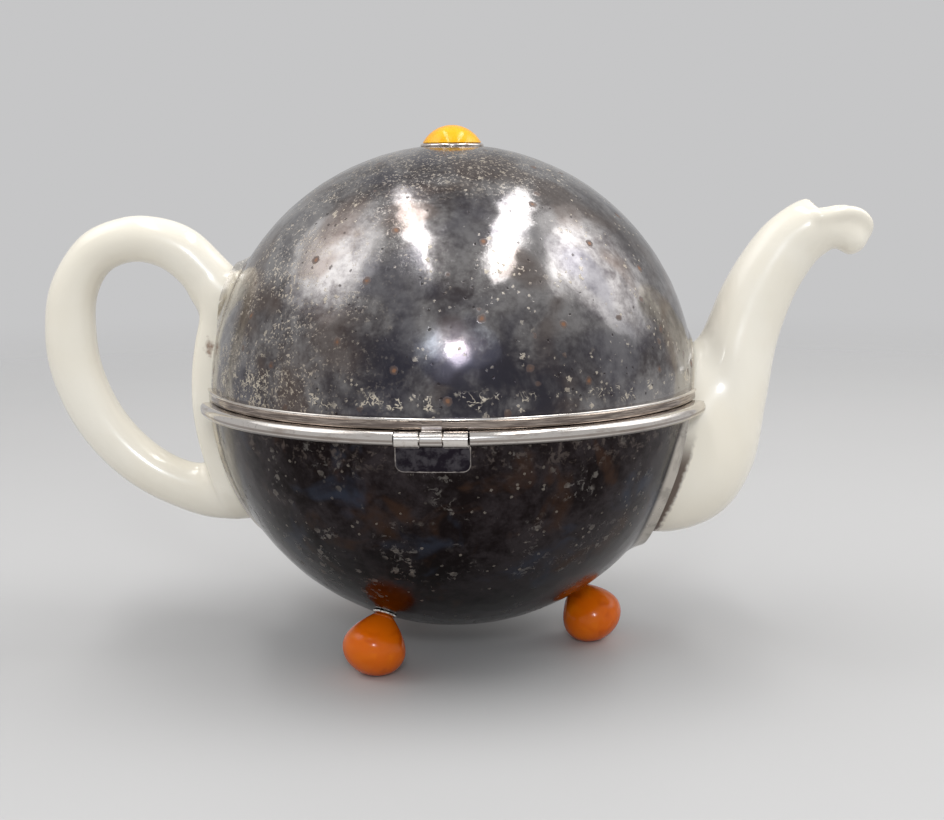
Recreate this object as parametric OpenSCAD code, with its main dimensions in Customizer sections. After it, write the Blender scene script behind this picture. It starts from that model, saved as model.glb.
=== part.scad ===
// Porcelain teapot in a hinged, hammered, silver-plated cosy, mm, +Z up.
// Origin: on the table, under the centre of the ball. +X is the spout, -Y the hinge.

/* [Cosy] */
// Outside radius of both half shells
cosy_r = 80; // [76:1:84]
// Thickness of the shell sheet
shell_t = 1; // [0.8:0.1:1.2]
// Height of the parting plane over the centre of the ball
parting_z = -1.5; // [-2.5:0.5:0]
// Thickness of the felt lining
lining_t = 3.5; // [2.5:0.25:3.75]
// How far each felt edge stays back from the parting plane
lining_back = 0.4; // [0.3:0.1:1]
// Play of the felt around the washers and the nut
felt_play = 0.4; // [0.2:0.1:1]
// How far the turned-out lips stand off the shell
lip_h = 2.5; // [1.5:0.25:3]
// Thickness of the turned-out lips
lip_t = 1; // [0.8:0.1:1.5]

/* [Rims] */
// Radius of the round wire on the lower rim
bead_r = 2.3; // [1.8:0.1:2.5]
// How far the wire's centre lies outside the shell
bead_out = 3; // [2.6:0.1:3.4]
// How far the wire's centre lies below the parting plane
bead_drop = 2.2; // [2:0.1:2.8]
// Thickness of the flat ledge under the dome
ledge_t = 1; // [0.6:0.1:1.5]
// Thickness of the band around the dome's rim
band_t = 1.6; // [1.2:0.1:1.8]
// Height of the band around the dome's rim
band_h = 3.5; // [2.5:0.25:5]
// How far the fine line stands out from the band
line_out = 0.3; // [0.2:0.05:0.4]
// Height of the fine line along the band's top
line_h = 0.6; // [0.4:0.1:0.8]

/* [Hinge] */
// Length of the whole barrel
hinge_l = 21; // [18:0.5:24]
// Outside radius of the knuckles
knuckle_r = 2.3; // [2:0.1:2.4]
// How far the pin lies outside the shell
hinge_out = 4; // [3.8:0.1:4.5]
// Radius of the hinge pin
pin_r = 0.9; // [0.7:0.05:1.1]
// Radial play of the dome's knuckle on the pin
pin_play = 0.05; // [0.03:0.01:0.08]
// Gap between two knuckles
knuckle_gap = 0.3; // [0.2:0.05:0.5]
// Width of the leaf on the lower shell
leaf_w = 22; // [21:0.5:26]
// Height of the leaf below the parting plane
leaf_h = 12.6; // [9:0.2:14]
// Thickness of both leaves
leaf_t = 1; // [0.7:0.1:1.2]
// Radius of the leaf's lower corners
leaf_corner = 2.5; // [1:0.5:4]

/* [Spout opening] */
// Radius of the round part, in the lower shell
spout_gap_r = 29; // [28:0.5:31]
// Height of the round part over the centre of the ball
spout_gap_z = -23; // [-25:0.5:-21]
// Radius of the arch, in the dome
spout_arch_r = 14; // [13:0.5:16]
// Height of the arch's centre
spout_arch_z = 3; // [2:0.5:6]

/* [Handle opening] */
// Radius of the arch, in the dome
handle_arch_r = 8; // [7.5:0.25:9.5]
// Height of the arch's centre
handle_arch_z = 32; // [31:0.5:34]
// Radius of the widest part, at the rims
handle_gap_r = 21; // [19:0.5:24]
// Height of the widest part
handle_gap_z = -6; // [-10:1:-4]
// Radius of the lower end
handle_end_r = 17; // [16:0.5:19]
// Height of the lower end's centre
handle_end_z = -33; // [-34:0.5:-31]

/* [Feet] */
// Lean of each foot from the vertical, degrees
foot_lean = 30.4; // [27:0.2:34]
// Radius of the ball of a foot
foot_r = 9.75; // [8.5:0.25:11]
// Centre of the ball of a foot, outside the shell
foot_out = 11.1; // [10:0.1:14]
// Radius of the foot's neck
foot_neck_r = 3; // [2.5:0.25:4]
// Depth of the flat ground under each foot
foot_ground = 0.4; // [0.2:0.05:0.6]
// Radius of the metal collar
collar_r = 3.6; // [3.2:0.1:4.5]
// Height of the metal collar
collar_h = 1; // [0.8:0.1:1.5]
// Radius of the foot screws
screw_r = 1.5; // [1.25:0.25:2]
// Length of the foot screws in the feet
screw_bite = 9; // [6:0.5:11]
// Radius of the screw heads
screw_head_r = 2.8; // [2.4:0.1:3.2]
// Height of the screw heads
screw_head_h = 1.5; // [1:0.1:1.6]
// Radius of the washers
washer_r = 3.6; // [3.3:0.1:4]
// Thickness of the washers
washer_t = 0.7; // [0.5:0.1:0.8]

/* [Knob] */
// Radius of the knob
knob_r = 9.7; // [8:0.1:12]
// Height of the knob
knob_h = 5.9; // [4.5:0.1:7]
// How far the knob's plate stands out around it
plate_rim = 0.7; // [0.4:0.1:1.5]
// Height of the plate over the top of the shell
plate_h = 0.4; // [0.3:0.1:1]
// Radius of the knob's stud
stud_r = 1.6; // [1.25:0.05:2]
// Depth of the stud in the knob
stud_bite = 3.6; // [2.5:0.1:4]
// Width of the nut across its flats
nut_w = 6.5; // [5.5:0.5:7]
// Height of the nut
nut_h = 2.2; // [1.8:0.1:2.4]
// How far the stud comes through the nut
stud_end = 0.3; // [0.2:0.1:0.8]

/* [Porcelain pot] */
// Gap between the pot and the felt
pot_gap = 2.5; // [2:0.25:4]
// Thickness of the pot's wall
pot_wall = 4; // [3:0.25:5]
// Inner radius of the ring that the pot stands on
pot_ring_r = 27; // [22:0.5:30]
// Width of the ring that the pot stands on
pot_ring_w = 4; // [3:0.5:6]
// Depth of the mouth below the top of the pot's ball
mouth_drop = 17; // [16:0.5:20]
// Radius of the mouth
mouth_r = 36; // [32:0.5:38]
// Width of the ledge that the lid lies on
ledge_w = 4; // [3:0.25:5]
// Depth of the ledge below the mouth
ledge_depth = 2.5; // [2:0.25:3.5]
// Thickness of the ledge
ledge_thick = 4; // [3:0.25:5]
// Radius of the strainer holes
strain_r = 1.6; // [1.2:0.1:2]
// Distance between two strainer holes
strain_pitch = 7; // [6:0.25:8]
// Rows of strainer holes
strain_rows = 5; // [3:1:6]
// Strainer holes in a row
strain_columns = 3; // [2:1:4]

/* [Lid] */
// Play around the lid in its seat
lid_play = 0.4; // [0.3:0.05:0.8]
// Thickness of the lid
lid_t = 3; // [2.5:0.25:4]
// Rise of the lid's crown over its edge
lid_rise = 4; // [2:0.25:5]
// Radius of the lid's knob
lid_knob_r = 7; // [5:0.5:9]
// Radius of the neck under the lid's knob
lid_neck_r = 4.2; // [3.5:0.1:5]
// Height of the lid's knob over the crown
lid_knob_h = 9; // [7:0.5:10]
// Depth of the skirt under the lid
skirt_h = 9.5; // [9:0.25:12]
// Thickness of the skirt
skirt_t = 3; // [2.5:0.25:4]
// Length of the locking lug past the skirt
lug_l = 3; // [2:0.25:3.5]
// Width of the locking lug
lug_w = 8; // [6:0.5:12]
// Play around the lug in its notch
notch_play = 1; // [0.5:0.25:1.5]
// Radius of the steam hole
steam_r = 1.5; // [1:0.1:2]

/* [Handle] */
// Radius of the boss that carries the handle through the cosy
boss_r = 88; // [86.5:0.5:89]
// Half width of the boss at the rims
boss_w = 12; // [10:0.5:13]
// Half width of the boss at its lower end
boss_end_w = 11.5; // [9.5:0.5:12.5]
// Half width of the boss under the arch
boss_arch_w = 6.5; // [5.5:0.25:7]
// Height of the boss's own arch
boss_arch_z = 30; // [28:0.5:31]
// Half width of the handle
handle_w = 7.5; // [6:0.25:8.5]

/* [Spout] */
// Half width of the spout where it leaves the pot
spout_root_w = 22; // [19:0.5:23]
// Half width of the spout's neck
spout_neck_w = 9.2; // [8.5:0.1:10]
// Wall of the spout
spout_wall = 3; // [2.5:0.25:4]

/* [Hidden] */
$fn = 96;
fine = 360;
arc_step = 10;
sides = 20;
far = 200;

silver = "silver";
dark_silver = "dimgray";
amber = "darkorange";
ivory = "ivory";
felt = "saddlebrown";
metal = "lightgray";

shell_in = cosy_r - shell_t;
lining_in = shell_in - lining_t;
pot_r = lining_in - pot_gap;
pot_in = pot_r - pot_wall;
mouth_z = pot_r - mouth_drop;
lip_r = cosy_r + lip_h;
bead_z = parting_z - bead_drop;
band_r = cosy_r + band_t;
hinge_y = -cosy_r - hinge_out;
knuckle_l = hinge_l / 3;
seat_r = mouth_r + ledge_w;
seat_z = mouth_z - ledge_depth;
knob_z = cosy_r + plate_h;
nut_corner_r = nut_w / sqrt(3);
ball_h = (cosy_r + foot_out) * cos(foot_lean) + foot_r - foot_ground;

// Where the feet stand around the ball, degrees: under the spout, at the back, in front
foot_turns = [0, 120, 240];

// Round ends of the two openings and of the boss: height and radius, from the bottom up
spout_ends = [[spout_gap_z, spout_gap_r], [spout_arch_z, spout_arch_r]];
handle_ends = [
    [handle_end_z, handle_end_r],
    [handle_gap_z, handle_gap_r],
    [handle_arch_z, handle_arch_r]];
boss_ends = [
    [handle_end_z, boss_end_w],
    [handle_gap_z, boss_w],
    [boss_arch_z, boss_arch_w]];

// Stations of the handle: inner x and z, outer x and z, half width, fullness.
handle_path = [
    [-62, 10, -54, 24, handle_w, 0],
    [-79, 19, -66, 32, handle_w, 0],
    [-87, 26.5, -76, 42, handle_w, 0],
    [-91.5, 34, -86.5, 52, handle_w, 0],
    [-99, 40, -98, 56.5, handle_w, 0],
    [-108, 41.8, -111, 56.8, handle_w, 0],
    [-116.5, 38.6, -125.5, 50.8, handle_w, 0],
    [-121.3, 30.5, -136.2, 36, handle_w, 0],
    [-122.3, 20, -139.5, 19.5, handle_w, 0],
    [-120.9, 7, -137.7, 2.4, handle_w, 0],
    [-115.5, -6.3, -129.6, -15.7, handle_w, 0],
    [-106.8, -17.4, -116, -31, handle_w, 0],
    [-95.5, -25.2, -98.8, -41.2, handle_w, 0],
    [-84, -27, -78, -46.4, handle_w, 0],
    [-64, -22, -50, -40, handle_w, 0]];

// Stations of the spout: upper x and z, lower x and z, half width, fullness.
spout_path = [
    [62, 10, 50, -42, spout_root_w, 0.25],
    [73.5, 12, 70.5, -46.5, spout_root_w, 0.25],
    [79.5, 14.5, 88.5, -39.5, spout_root_w - 2.5, 0.2],
    [82.6, 18.2, 98.5, -27, spout_root_w - 6, 0.1],
    [85.1, 24, 103.6, -5, spout_neck_w + 4.6, 0],
    [88.6, 32.5, 106.3, 14, spout_neck_w + 2.4, 0],
    [94, 42.3, 111, 30, spout_neck_w + 1, 0],
    [101.4, 52.3, 117, 41.3, spout_neck_w, 0],
    [110.5, 59.9, 121.5, 46.2, spout_neck_w, 0],
    [118.5, 59, 125.5, 47.6, spout_neck_w, 0],
    [127.5, 60, 130, 45.6, spout_neck_w - 1, 0],
    [133.6, 57.6, 133.8, 46.8, spout_neck_w - 3, 0],
    [136.7, 53.5, 136.7, 51, spout_neck_w - 7, 0]];

// Stations of the open trough along the spout's lip.
trough_path = [
    [104, 51.5, 115, 43.5, spout_neck_w - spout_wall, 0],
    [112.5, 62.5, 119, 50.5, spout_neck_w - spout_wall, 0],
    [119.5, 64, 124, 52.3, spout_neck_w - spout_wall, 0],
    [128.5, 66, 129.8, 53.2, spout_neck_w - spout_wall - 1, 0],
    [133, 67, 133.8, 57, spout_neck_w - spout_wall - 3, 0]];
trough_from = 7;

function curve(a, b, c, d, t) =
    (2 * b + (c - a) * t + (2 * a - 5 * b + 4 * c - d) * t * t
    + (3 * b - a - 3 * c + d) * t * t * t) / 2;

function at_end(list, i) = list[max(0, min(len(list) - 1, i))];

function smooth(list, steps) = [
    for (i = [0 : len(list) - 2])
        for (s = [0 : steps - 1])
            curve(at_end(list, i - 1), list[i], list[i + 1], at_end(list, i + 2), s / steps),
    list[len(list) - 1]];

function ring(s, inset) =
    let (
        upper = [s[0], 0, s[1]],
        lower = [s[2], 0, s[3]],
        half = (upper - lower) / 2,
        length = norm(half),
        reach = half * (length - inset) / length)
    [for (i = [0 : sides - 1])
        let (turn = 360 * i / sides)
        (upper + lower) / 2 + reach * cos(turn)
        + [0, (s[4] - inset) * sin(turn) * (1 - s[5] * cos(turn)), 0]];

function first(list, n) = [for (i = [0 : n - 1]) list[i]];

// A tube of smooth rings through the stations of a path
module sweep(path, inset = 0, steps = 2) {
    stations = smooth(path, steps);
    last = len(stations) - 1;
    points = [for (s = stations) each ring(s, inset)];
    walls = [
        for (k = [0 : last - 1])
            for (i = [0 : sides - 1])
                let (j = (i + 1) % sides)
                each [
                    [k * sides + i, k * sides + j, (k + 1) * sides + j],
                    [k * sides + i, (k + 1) * sides + j, (k + 1) * sides + i]]];
    start = [[for (i = [sides - 1 : -1 : 0]) i]];
    end = [[for (i = [0 : sides - 1]) last * sides + i]];
    polyhedron(points, concat(walls, start, end), convexity = 6);
}

module at_centre() {
    translate([0, 0, ball_h]) children();
}

module shell_wall(outer, inner) {
    difference() {
        sphere(outer);
        sphere(inner);
    }
}

module below(z) {
    translate([-far, -far, z - 2 * far]) cube(2 * far);
}

module above(z) {
    translate([-far, -far, z]) cube(2 * far);
}

// Lean of the straight side between two round ends, each [height, radius]
function lean(a, b) = asin((a[1] - b[1]) / (b[0] - a[0]));

function arc(end, from, to) =
    let (steps = max(1, ceil((to - from) / arc_step)))
    [for (i = [0 : steps])
        let (turn = from + (to - from) * i / steps)
        [end[1] * cos(turn), end[0] + end[1] * sin(turn)]];

// One side of the outline around round ends stacked up Z
function side(ends) = [
    for (i = [0 : len(ends) - 1])
        each arc(ends[i],
            i == 0 ? -90 : lean(ends[i - 1], ends[i]),
            i == len(ends) - 1 ? 90 : lean(ends[i], ends[i + 1]))];

function grown(ends, grow) = [for (end = ends) [end[0], end[1] + grow]];

// The tight outline around round ends, stood up and pushed out along X
module slot_along_x(ends, from, to) {
    right = side(ends);
    left = [for (i = [len(right) - 2 : -1 : 1]) [-right[i][0], right[i][1]]];
    translate([from, 0, 0]) rotate([90, 0, 90]) linear_extrude(to - from)
        polygon(concat(right, left));
}

module spout_gap(grow = 0) {
    slot_along_x(grown(spout_ends, grow), 0, far);
}

module handle_gap(grow = 0) {
    slot_along_x(grown(handle_ends, grow), -far, 0);
}

module both_gaps(grow = 0) {
    spout_gap(grow);
    handle_gap(grow);
}

// A half shell with its two openings and the lips turned out around them
module open_shell() {
    difference() {
        union() {
            shell_wall(cosy_r, shell_in);
            intersection() {
                shell_wall(lip_r, shell_in);
                both_gaps(lip_t);
            }
        }
        both_gaps();
    }
}

module on_foot(turn) {
    at_centre() rotate([0, 180 - foot_lean, turn]) children();
}

module foot_holes() {
    for (turn = foot_turns)
        rotate([0, 180 - foot_lean, turn]) children();
}

// A round bar along the hinge's axis
module on_axis(from, to, r) {
    translate([from, hinge_y, bead_z]) rotate([0, 90, 0]) cylinder(h = to - from, r = r);
}

// The stretch of the front between two x values and two heights
module front_block(x_from, x_to, z_from, z_to) {
    translate([x_from, -far, z_from]) cube([x_to - x_from, far, z_to - z_from]);
}

module lower_shell() {
    color(dark_silver) at_centre() difference() {
        open_shell();
        above(parting_z);
        foot_holes() cylinder(h = far, r = screw_r);
    }
}

module lower_rim() {
    difference() {
        rotate_extrude() {
            translate([cosy_r + bead_out, bead_z]) circle(bead_r);
            translate([cosy_r - 1, parting_z - ledge_t]) square([bead_out + 1, ledge_t]);
        }
        sphere(cosy_r, $fn = fine);
        both_gaps(lip_t);
        front_block(-hinge_l / 2 - knuckle_gap, hinge_l / 2 + knuckle_gap, bead_z - far / 2, far / 2);
    }
}

module front_half() {
    translate([-far, -far, -far]) cube([2 * far, far, 2 * far]);
}

module back_half() {
    translate([-far, 0, -far]) cube([2 * far, far, 2 * far]);
}

module lower_rim_front() {
    color(silver) at_centre() intersection() {
        lower_rim();
        front_half();
    }
}

module lower_rim_back() {
    color(silver) at_centre() intersection() {
        lower_rim();
        back_half();
    }
}

module lower_lining() {
    color(felt) at_centre() difference() {
        shell_wall(shell_in, lining_in);
        above(parting_z - lining_back);
        both_gaps(lip_t);
        foot_holes() cylinder(h = far, r = washer_r + felt_play);
    }
}

// Ball and cone in one outline, with the flat neck at the collar
module foot(turn) {
    neck_z = cosy_r + collar_h;
    ball_z = cosy_r + foot_out;
    lean = asin((foot_r - foot_neck_r) / (ball_z - neck_z));
    color(amber) difference() {
        on_foot(turn) difference() {
            rotate_extrude() intersection() {
                union() {
                    translate([0, ball_z]) circle(foot_r);
                    polygon([
                        [0, neck_z],
                        [foot_neck_r, neck_z],
                        [foot_r * cos(lean), ball_z - foot_r * sin(lean)],
                        [0, ball_z]]);
                }
                translate([0, neck_z]) square([far, far]);
            }
            cylinder(h = cosy_r + collar_h + screw_bite, r = screw_r);
        }
        below(0);
    }
}

module foot_collar(turn) {
    color(metal) on_foot(turn) difference() {
        cylinder(h = cosy_r + collar_h, r = collar_r);
        sphere(cosy_r, $fn = fine);
        cylinder(h = far, r = screw_r);
    }
}

module foot_washer(turn) {
    color(metal) on_foot(turn) difference() {
        intersection() {
            cylinder(h = far, r = washer_r);
            sphere(shell_in, $fn = fine);
        }
        cylinder(h = shell_in - washer_t, r = far);
        cylinder(h = far, r = screw_r);
    }
}

module foot_screw(turn) {
    head_z = shell_in - washer_t - screw_head_h;
    color(metal) on_foot(turn) {
        translate([0, 0, head_z]) cylinder(h = screw_head_h, r = screw_head_r);
        translate([0, 0, head_z]) cylinder(h = cosy_r + collar_h + screw_bite - head_z, r = screw_r);
    }
}

module hinge_lower_leaf() {
    inner = knuckle_l / 2 + knuckle_gap / 2;
    leaf_z = parting_z - leaf_h;
    color(silver) at_centre() difference() {
        union() {
            intersection() {
                shell_wall(cosy_r + leaf_t, cosy_r);
                translate([0, -cosy_r / 2, 0]) rotate([90, 0, 0]) linear_extrude(far) union() {
                    translate([-leaf_w / 2, leaf_z + leaf_corner])
                        square([leaf_w, bead_z - knuckle_r - leaf_z - leaf_corner]);
                    translate([leaf_corner - leaf_w / 2, leaf_z])
                        square([leaf_w - 2 * leaf_corner, leaf_corner]);
                    for (side = [-1, 1])
                        translate([side * (leaf_w / 2 - leaf_corner), leaf_z + leaf_corner])
                            circle(leaf_corner);
                }
            }
            for (side = [-1, 1]) {
                low = side < 0 ? -hinge_l / 2 : inner;
                on_axis(low, low + hinge_l / 2 - inner, knuckle_r);
                difference() {
                    intersection() {
                        cylinder(h = 2 * far, r = cosy_r + hinge_out - knuckle_r + leaf_t, center = true);
                        front_block(low, low + hinge_l / 2 - inner, bead_z - knuckle_r - leaf_t, bead_z);
                    }
                    sphere(cosy_r);
                }
            }
        }
        on_axis(-hinge_l, hinge_l, pin_r);
    }
}

module hinge_pin() {
    color(metal) at_centre() on_axis(-hinge_l / 2, hinge_l / 2, pin_r);
}

module hinge_upper_leaf() {
    half = knuckle_l / 2 - knuckle_gap / 2;
    color(silver) at_centre() difference() {
        union() {
            on_axis(-half, half, knuckle_r);
            difference() {
                intersection() {
                    cylinder(h = 2 * far, r = cosy_r + hinge_out - knuckle_r + leaf_t, center = true);
                    front_block(-half, half, bead_z, parting_z + band_h - line_h);
                }
                cylinder(h = 2 * far, r = band_r, center = true);
            }
        }
        on_axis(-hinge_l, hinge_l, pin_r + pin_play);
    }
}

// The wall with its ring underneath, its mouth, its seat and the strainer
module pot_body() {
    notch_w = lug_w + 2 * notch_play;
    color(ivory) at_centre() difference() {
        union() {
            difference() {
                sphere(pot_r);
                sphere(pot_in);
            }
            intersection() {
                sphere(pot_r);
                translate([0, 0, seat_z - ledge_thick]) difference() {
                    cylinder(h = far, r = pot_r);
                    translate([0, 0, -1]) cylinder(h = far, r = mouth_r);
                }
            }
            intersection() {
                sphere(lining_in);
                difference() {
                    translate([0, 0, -far]) cylinder(h = far, r = pot_ring_r + pot_ring_w);
                    translate([0, 0, -far - 1]) cylinder(h = far + 2, r = pot_ring_r);
                    sphere(pot_in);
                }
            }
        }
        above(mouth_z);
        translate([0, 0, seat_z]) cylinder(h = far, r = seat_r);
        translate([-far / 2, -notch_w / 2, seat_z - ledge_thick - 1])
            intersection() {
                cube([far / 2, notch_w, ledge_thick + 2]);
                translate([far / 2, notch_w / 2, 0]) cylinder(h = far, r = mouth_r + lug_l + notch_play);
            }
        translate([0, 0, spout_gap_z + strain_pitch / 2]) for (row = [0 : strain_rows - 1])
            for (column = [0 : strain_columns - 1])
                translate([
                    0,
                    (column - (strain_columns - 1) / 2) * strain_pitch,
                    (row - (strain_rows - 1) / 2) * strain_pitch])
                    rotate([0, 90, 0]) cylinder(h = far, r = strain_r);
    }
}

module boss() {
    intersection() {
        sphere(boss_r);
        slot_along_x(boss_ends, -far, -pot_in / 2);
    }
}

module pot_handle() {
    color(ivory) at_centre() difference() {
        union() {
            boss();
            sweep(handle_path);
        }
        sphere(pot_r);
    }
}

module pot_spout() {
    color(ivory) at_centre() difference() {
        sweep(spout_path);
        sphere(pot_r);
        sweep(first(spout_path, trough_from + 1), spout_wall);
        sweep(trough_path);
    }
}

module pot_lid() {
    edge_r = seat_r - lid_play;
    skirt_r = mouth_r - lid_play;
    crown_r = (edge_r * edge_r + lid_rise * lid_rise) / (2 * lid_rise);
    crown_z = seat_z + lid_t + lid_rise;
    lug_z = seat_z - skirt_h;
    color(ivory) at_centre() difference() {
        union() {
            translate([0, 0, seat_z]) cylinder(h = lid_t, r = edge_r);
            intersection() {
                translate([0, 0, crown_z - crown_r]) sphere(crown_r, $fn = fine);
                above(seat_z + lid_t);
            }
            translate([0, 0, crown_z - 1]) cylinder(h = lid_knob_h / 2, r = lid_neck_r);
            translate([0, 0, crown_z + lid_knob_h - lid_knob_r]) intersection() {
                sphere(lid_knob_r);
                above(-lid_knob_r / 2);
            }
            translate([0, 0, lug_z]) difference() {
                cylinder(h = skirt_h, r = skirt_r);
                translate([0, 0, -1]) cylinder(h = skirt_h + 1, r = skirt_r - skirt_t);
            }
            translate([0, -lug_w / 2, lug_z]) intersection() {
                translate([skirt_r - skirt_t, 0, 0])
                    cube([skirt_t + lug_l, lug_w, skirt_h - ledge_thick - lid_play]);
                translate([0, lug_w / 2, 0]) cylinder(h = skirt_h, r = skirt_r + lug_l);
            }
        }
        translate([0, mouth_r / 2, seat_z - 1]) cylinder(h = far, r = steam_r);
    }
}

module upper_shell() {
    color(silver) at_centre() difference() {
        open_shell();
        below(parting_z);
        cylinder(h = far, r = stud_r);
    }
}

// The band with the fine line standing out along its top
module upper_rim() {
    top_z = parting_z + band_h;
    difference() {
        rotate_extrude($fn = fine) polygon([
            [cosy_r - 1, parting_z],
            [band_r, parting_z],
            [band_r, top_z - line_h],
            [band_r + line_out, top_z - line_h],
            [band_r + line_out, top_z],
            [cosy_r - 1, top_z]]);
        sphere(cosy_r, $fn = fine);
        both_gaps(lip_t);
    }
}

module upper_rim_front() {
    color(silver) at_centre() intersection() {
        upper_rim();
        front_half();
    }
}

module upper_rim_back() {
    color(silver) at_centre() intersection() {
        upper_rim();
        back_half();
    }
}

module upper_lining() {
    color(felt) at_centre() difference() {
        shell_wall(shell_in, lining_in);
        below(parting_z + lining_back);
        both_gaps(lip_t);
        cylinder(h = far, r = nut_corner_r + felt_play);
    }
}

module knob_plate() {
    color(metal) at_centre() difference() {
        cylinder(h = knob_z, r = knob_r + plate_rim);
        sphere(cosy_r, $fn = fine);
        cylinder(h = far, r = stud_r);
    }
}

module knob() {
    dome_r = (knob_r * knob_r + knob_h * knob_h) / (2 * knob_h);
    color(amber) at_centre() difference() {
        intersection() {
            translate([0, 0, knob_z + knob_h - dome_r]) sphere(dome_r);
            above(knob_z);
        }
        cylinder(h = knob_z + stud_bite, r = stud_r);
    }
}

module knob_stud() {
    foot_z = shell_in - nut_h - stud_end;
    color(metal) at_centre() translate([0, 0, foot_z])
        cylinder(h = knob_z + stud_bite - foot_z, r = stud_r);
}

module knob_nut() {
    color(metal) at_centre() difference() {
        intersection() {
            translate([0, 0, shell_in - nut_h]) cylinder(h = far, r = nut_corner_r, $fn = 6);
            sphere(shell_in, $fn = fine);
        }
        cylinder(h = far, r = stud_r);
    }
}

lower_shell();
lower_rim_front();
lower_rim_back();
lower_lining();
foot(foot_turns[0]);  // foot_spout
foot(foot_turns[2]);  // foot_front
foot(foot_turns[1]);  // foot_back
foot_collar(foot_turns[0]);  // foot_collar_spout
foot_collar(foot_turns[2]);  // foot_collar_front
foot_collar(foot_turns[1]);  // foot_collar_back
foot_screw(foot_turns[0]);  // foot_screw_spout
foot_screw(foot_turns[2]);  // foot_screw_front
foot_screw(foot_turns[1]);  // foot_screw_back
foot_washer(foot_turns[0]);  // foot_washer_spout
foot_washer(foot_turns[2]);  // foot_washer_front
foot_washer(foot_turns[1]);  // foot_washer_back
hinge_lower_leaf();
hinge_pin();
pot_body();
pot_handle();
pot_spout();
pot_lid();
upper_shell();
upper_rim_front();
upper_rim_back();
upper_lining();
hinge_upper_leaf();
knob();
knob_plate();
knob_stud();
knob_nut();
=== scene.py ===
import math

import bpy
import numpy as np
from mathutils import Matrix, Vector, kdtree


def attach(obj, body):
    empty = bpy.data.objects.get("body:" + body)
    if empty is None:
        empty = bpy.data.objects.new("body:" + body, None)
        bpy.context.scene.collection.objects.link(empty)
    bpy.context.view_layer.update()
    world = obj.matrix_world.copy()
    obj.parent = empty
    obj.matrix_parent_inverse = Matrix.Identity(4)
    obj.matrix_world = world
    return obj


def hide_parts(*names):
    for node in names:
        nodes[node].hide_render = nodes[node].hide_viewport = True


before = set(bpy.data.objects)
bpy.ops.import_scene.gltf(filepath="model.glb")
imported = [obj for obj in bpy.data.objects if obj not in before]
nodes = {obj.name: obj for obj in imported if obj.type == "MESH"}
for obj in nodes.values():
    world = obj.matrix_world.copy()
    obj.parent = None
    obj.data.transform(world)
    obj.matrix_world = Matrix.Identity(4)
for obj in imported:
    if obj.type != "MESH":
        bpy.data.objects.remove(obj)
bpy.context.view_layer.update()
rng = np.random.default_rng(7)

MM = 0.001
SHELL_R, SHELL_T = 80.0, 1.0
LINING_IN, LINING_OUT = 75.5, 79.0
PARTING = -1.5
FOOT_LEAN = math.radians(30.4)
BALL_H = (80 + 11.1) * math.cos(FOOT_LEAN) + 9.75 - 0.4
CENTRE = Vector((0, 0, BALL_H * MM))
# Height and radius of the round ends that each opening's outline is wrapped around
SPOUT_ENDS = [(-23, 29), (3, 14)]
HANDLE_ENDS = [(-33, 17), (-6, 21), (32, 8)]


# ---------------------------------------------------------------- mesh helpers
def to_row(points):
    """Millimetres from the ball's centre to metres in the row frame"""
    return (np.asarray(points, float) + [0, 0, BALL_H]) * MM


def add(name, data):
    """New object in the scene"""
    obj = bpy.data.objects.new(name, data)
    bpy.context.scene.collection.objects.link(obj)
    return obj


def stand(obj, x, y, z, at):
    """Places an object by the directions of its axes and its origin in mm from the ball's centre"""
    turn = np.stack([x, y, z], 1).tolist()
    rows = [[*row, place] for row, place in zip(turn, to_row(at).tolist())]
    obj.matrix_world = Matrix(rows + [[0, 0, 0, 1]])


def build(name, points, faces, body, stands_for=(), slot=None, material=None, angle=None, bare=None):
    """Makes a piece from points in mm, lets it ride on a body and stand for CAD nodes"""
    mesh = bpy.data.meshes.new(name)
    mesh.from_pydata(to_row(points).tolist(), [], [list(map(int, face)) for face in faces])
    mesh.validate()
    mesh.polygons.foreach_set("use_smooth", [True] * len(mesh.polygons))
    if bare is not None:
        bright_edge = mesh.attributes.new("bare", "FLOAT", "POINT")
        bright_edge.data.foreach_set("value", np.asarray(bare, np.float32))
    obj = add(name, mesh)
    if angle:
        mesh.set_sharp_from_angle(angle=math.radians(angle))
    if material:
        mesh.materials.append(material)
    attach(obj, body)
    if stands_for:
        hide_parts(*stands_for)
    return obj


def lathe(profile, count=96, place=None):
    """Turns (radius, height) points about Z. Ends at radius 0 close to one point."""
    turn = np.linspace(0, 2 * math.pi, count, endpoint=False)
    points, rows = [], []
    for r, z in profile:
        start = len(points)
        if r < 1e-6:
            points.append((0, 0, z))
            rows.append([start] * count)
        else:
            points += [(r * math.cos(t), r * math.sin(t), z) for t in turn]
            rows.append(list(range(start, start + count)))
    faces = []
    for a, b in zip(rows, rows[1:]):
        for i in range(count):
            j = (i + 1) % count
            f = [a[i], a[j], b[j], b[i]]
            f = [v for k, v in enumerate(f) if v not in f[:k]]
            if len(f) > 2:
                faces.append(f)
    points = np.array(points, float)
    if place is not None:
        points = points @ place.T
    return points, faces


def merge(*parts):
    points, faces, start = [], [], 0
    for p, f in parts:
        points.append(np.asarray(p, float))
        faces += [[v + start for v in face] for face in f]
        start += len(p)
    return np.vstack(points), faces


def spline(stations, steps):
    """Catmull-Rom through the stations"""
    s = np.asarray(stations, float)
    out = []
    for i in range(len(s) - 1):
        a, b, c, d = s[max(i - 1, 0)], s[i], s[i + 1], s[min(i + 2, len(s) - 1)]
        for t in np.arange(steps) / steps:
            square = (2 * a - 5 * b + 4 * c - d) * t**2
            cube = (3 * b - a - 3 * c + d) * t**3
            out.append((2 * b + (c - a) * t + square + cube) / 2)
    out.append(s[-1])
    return np.array(out)


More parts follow.
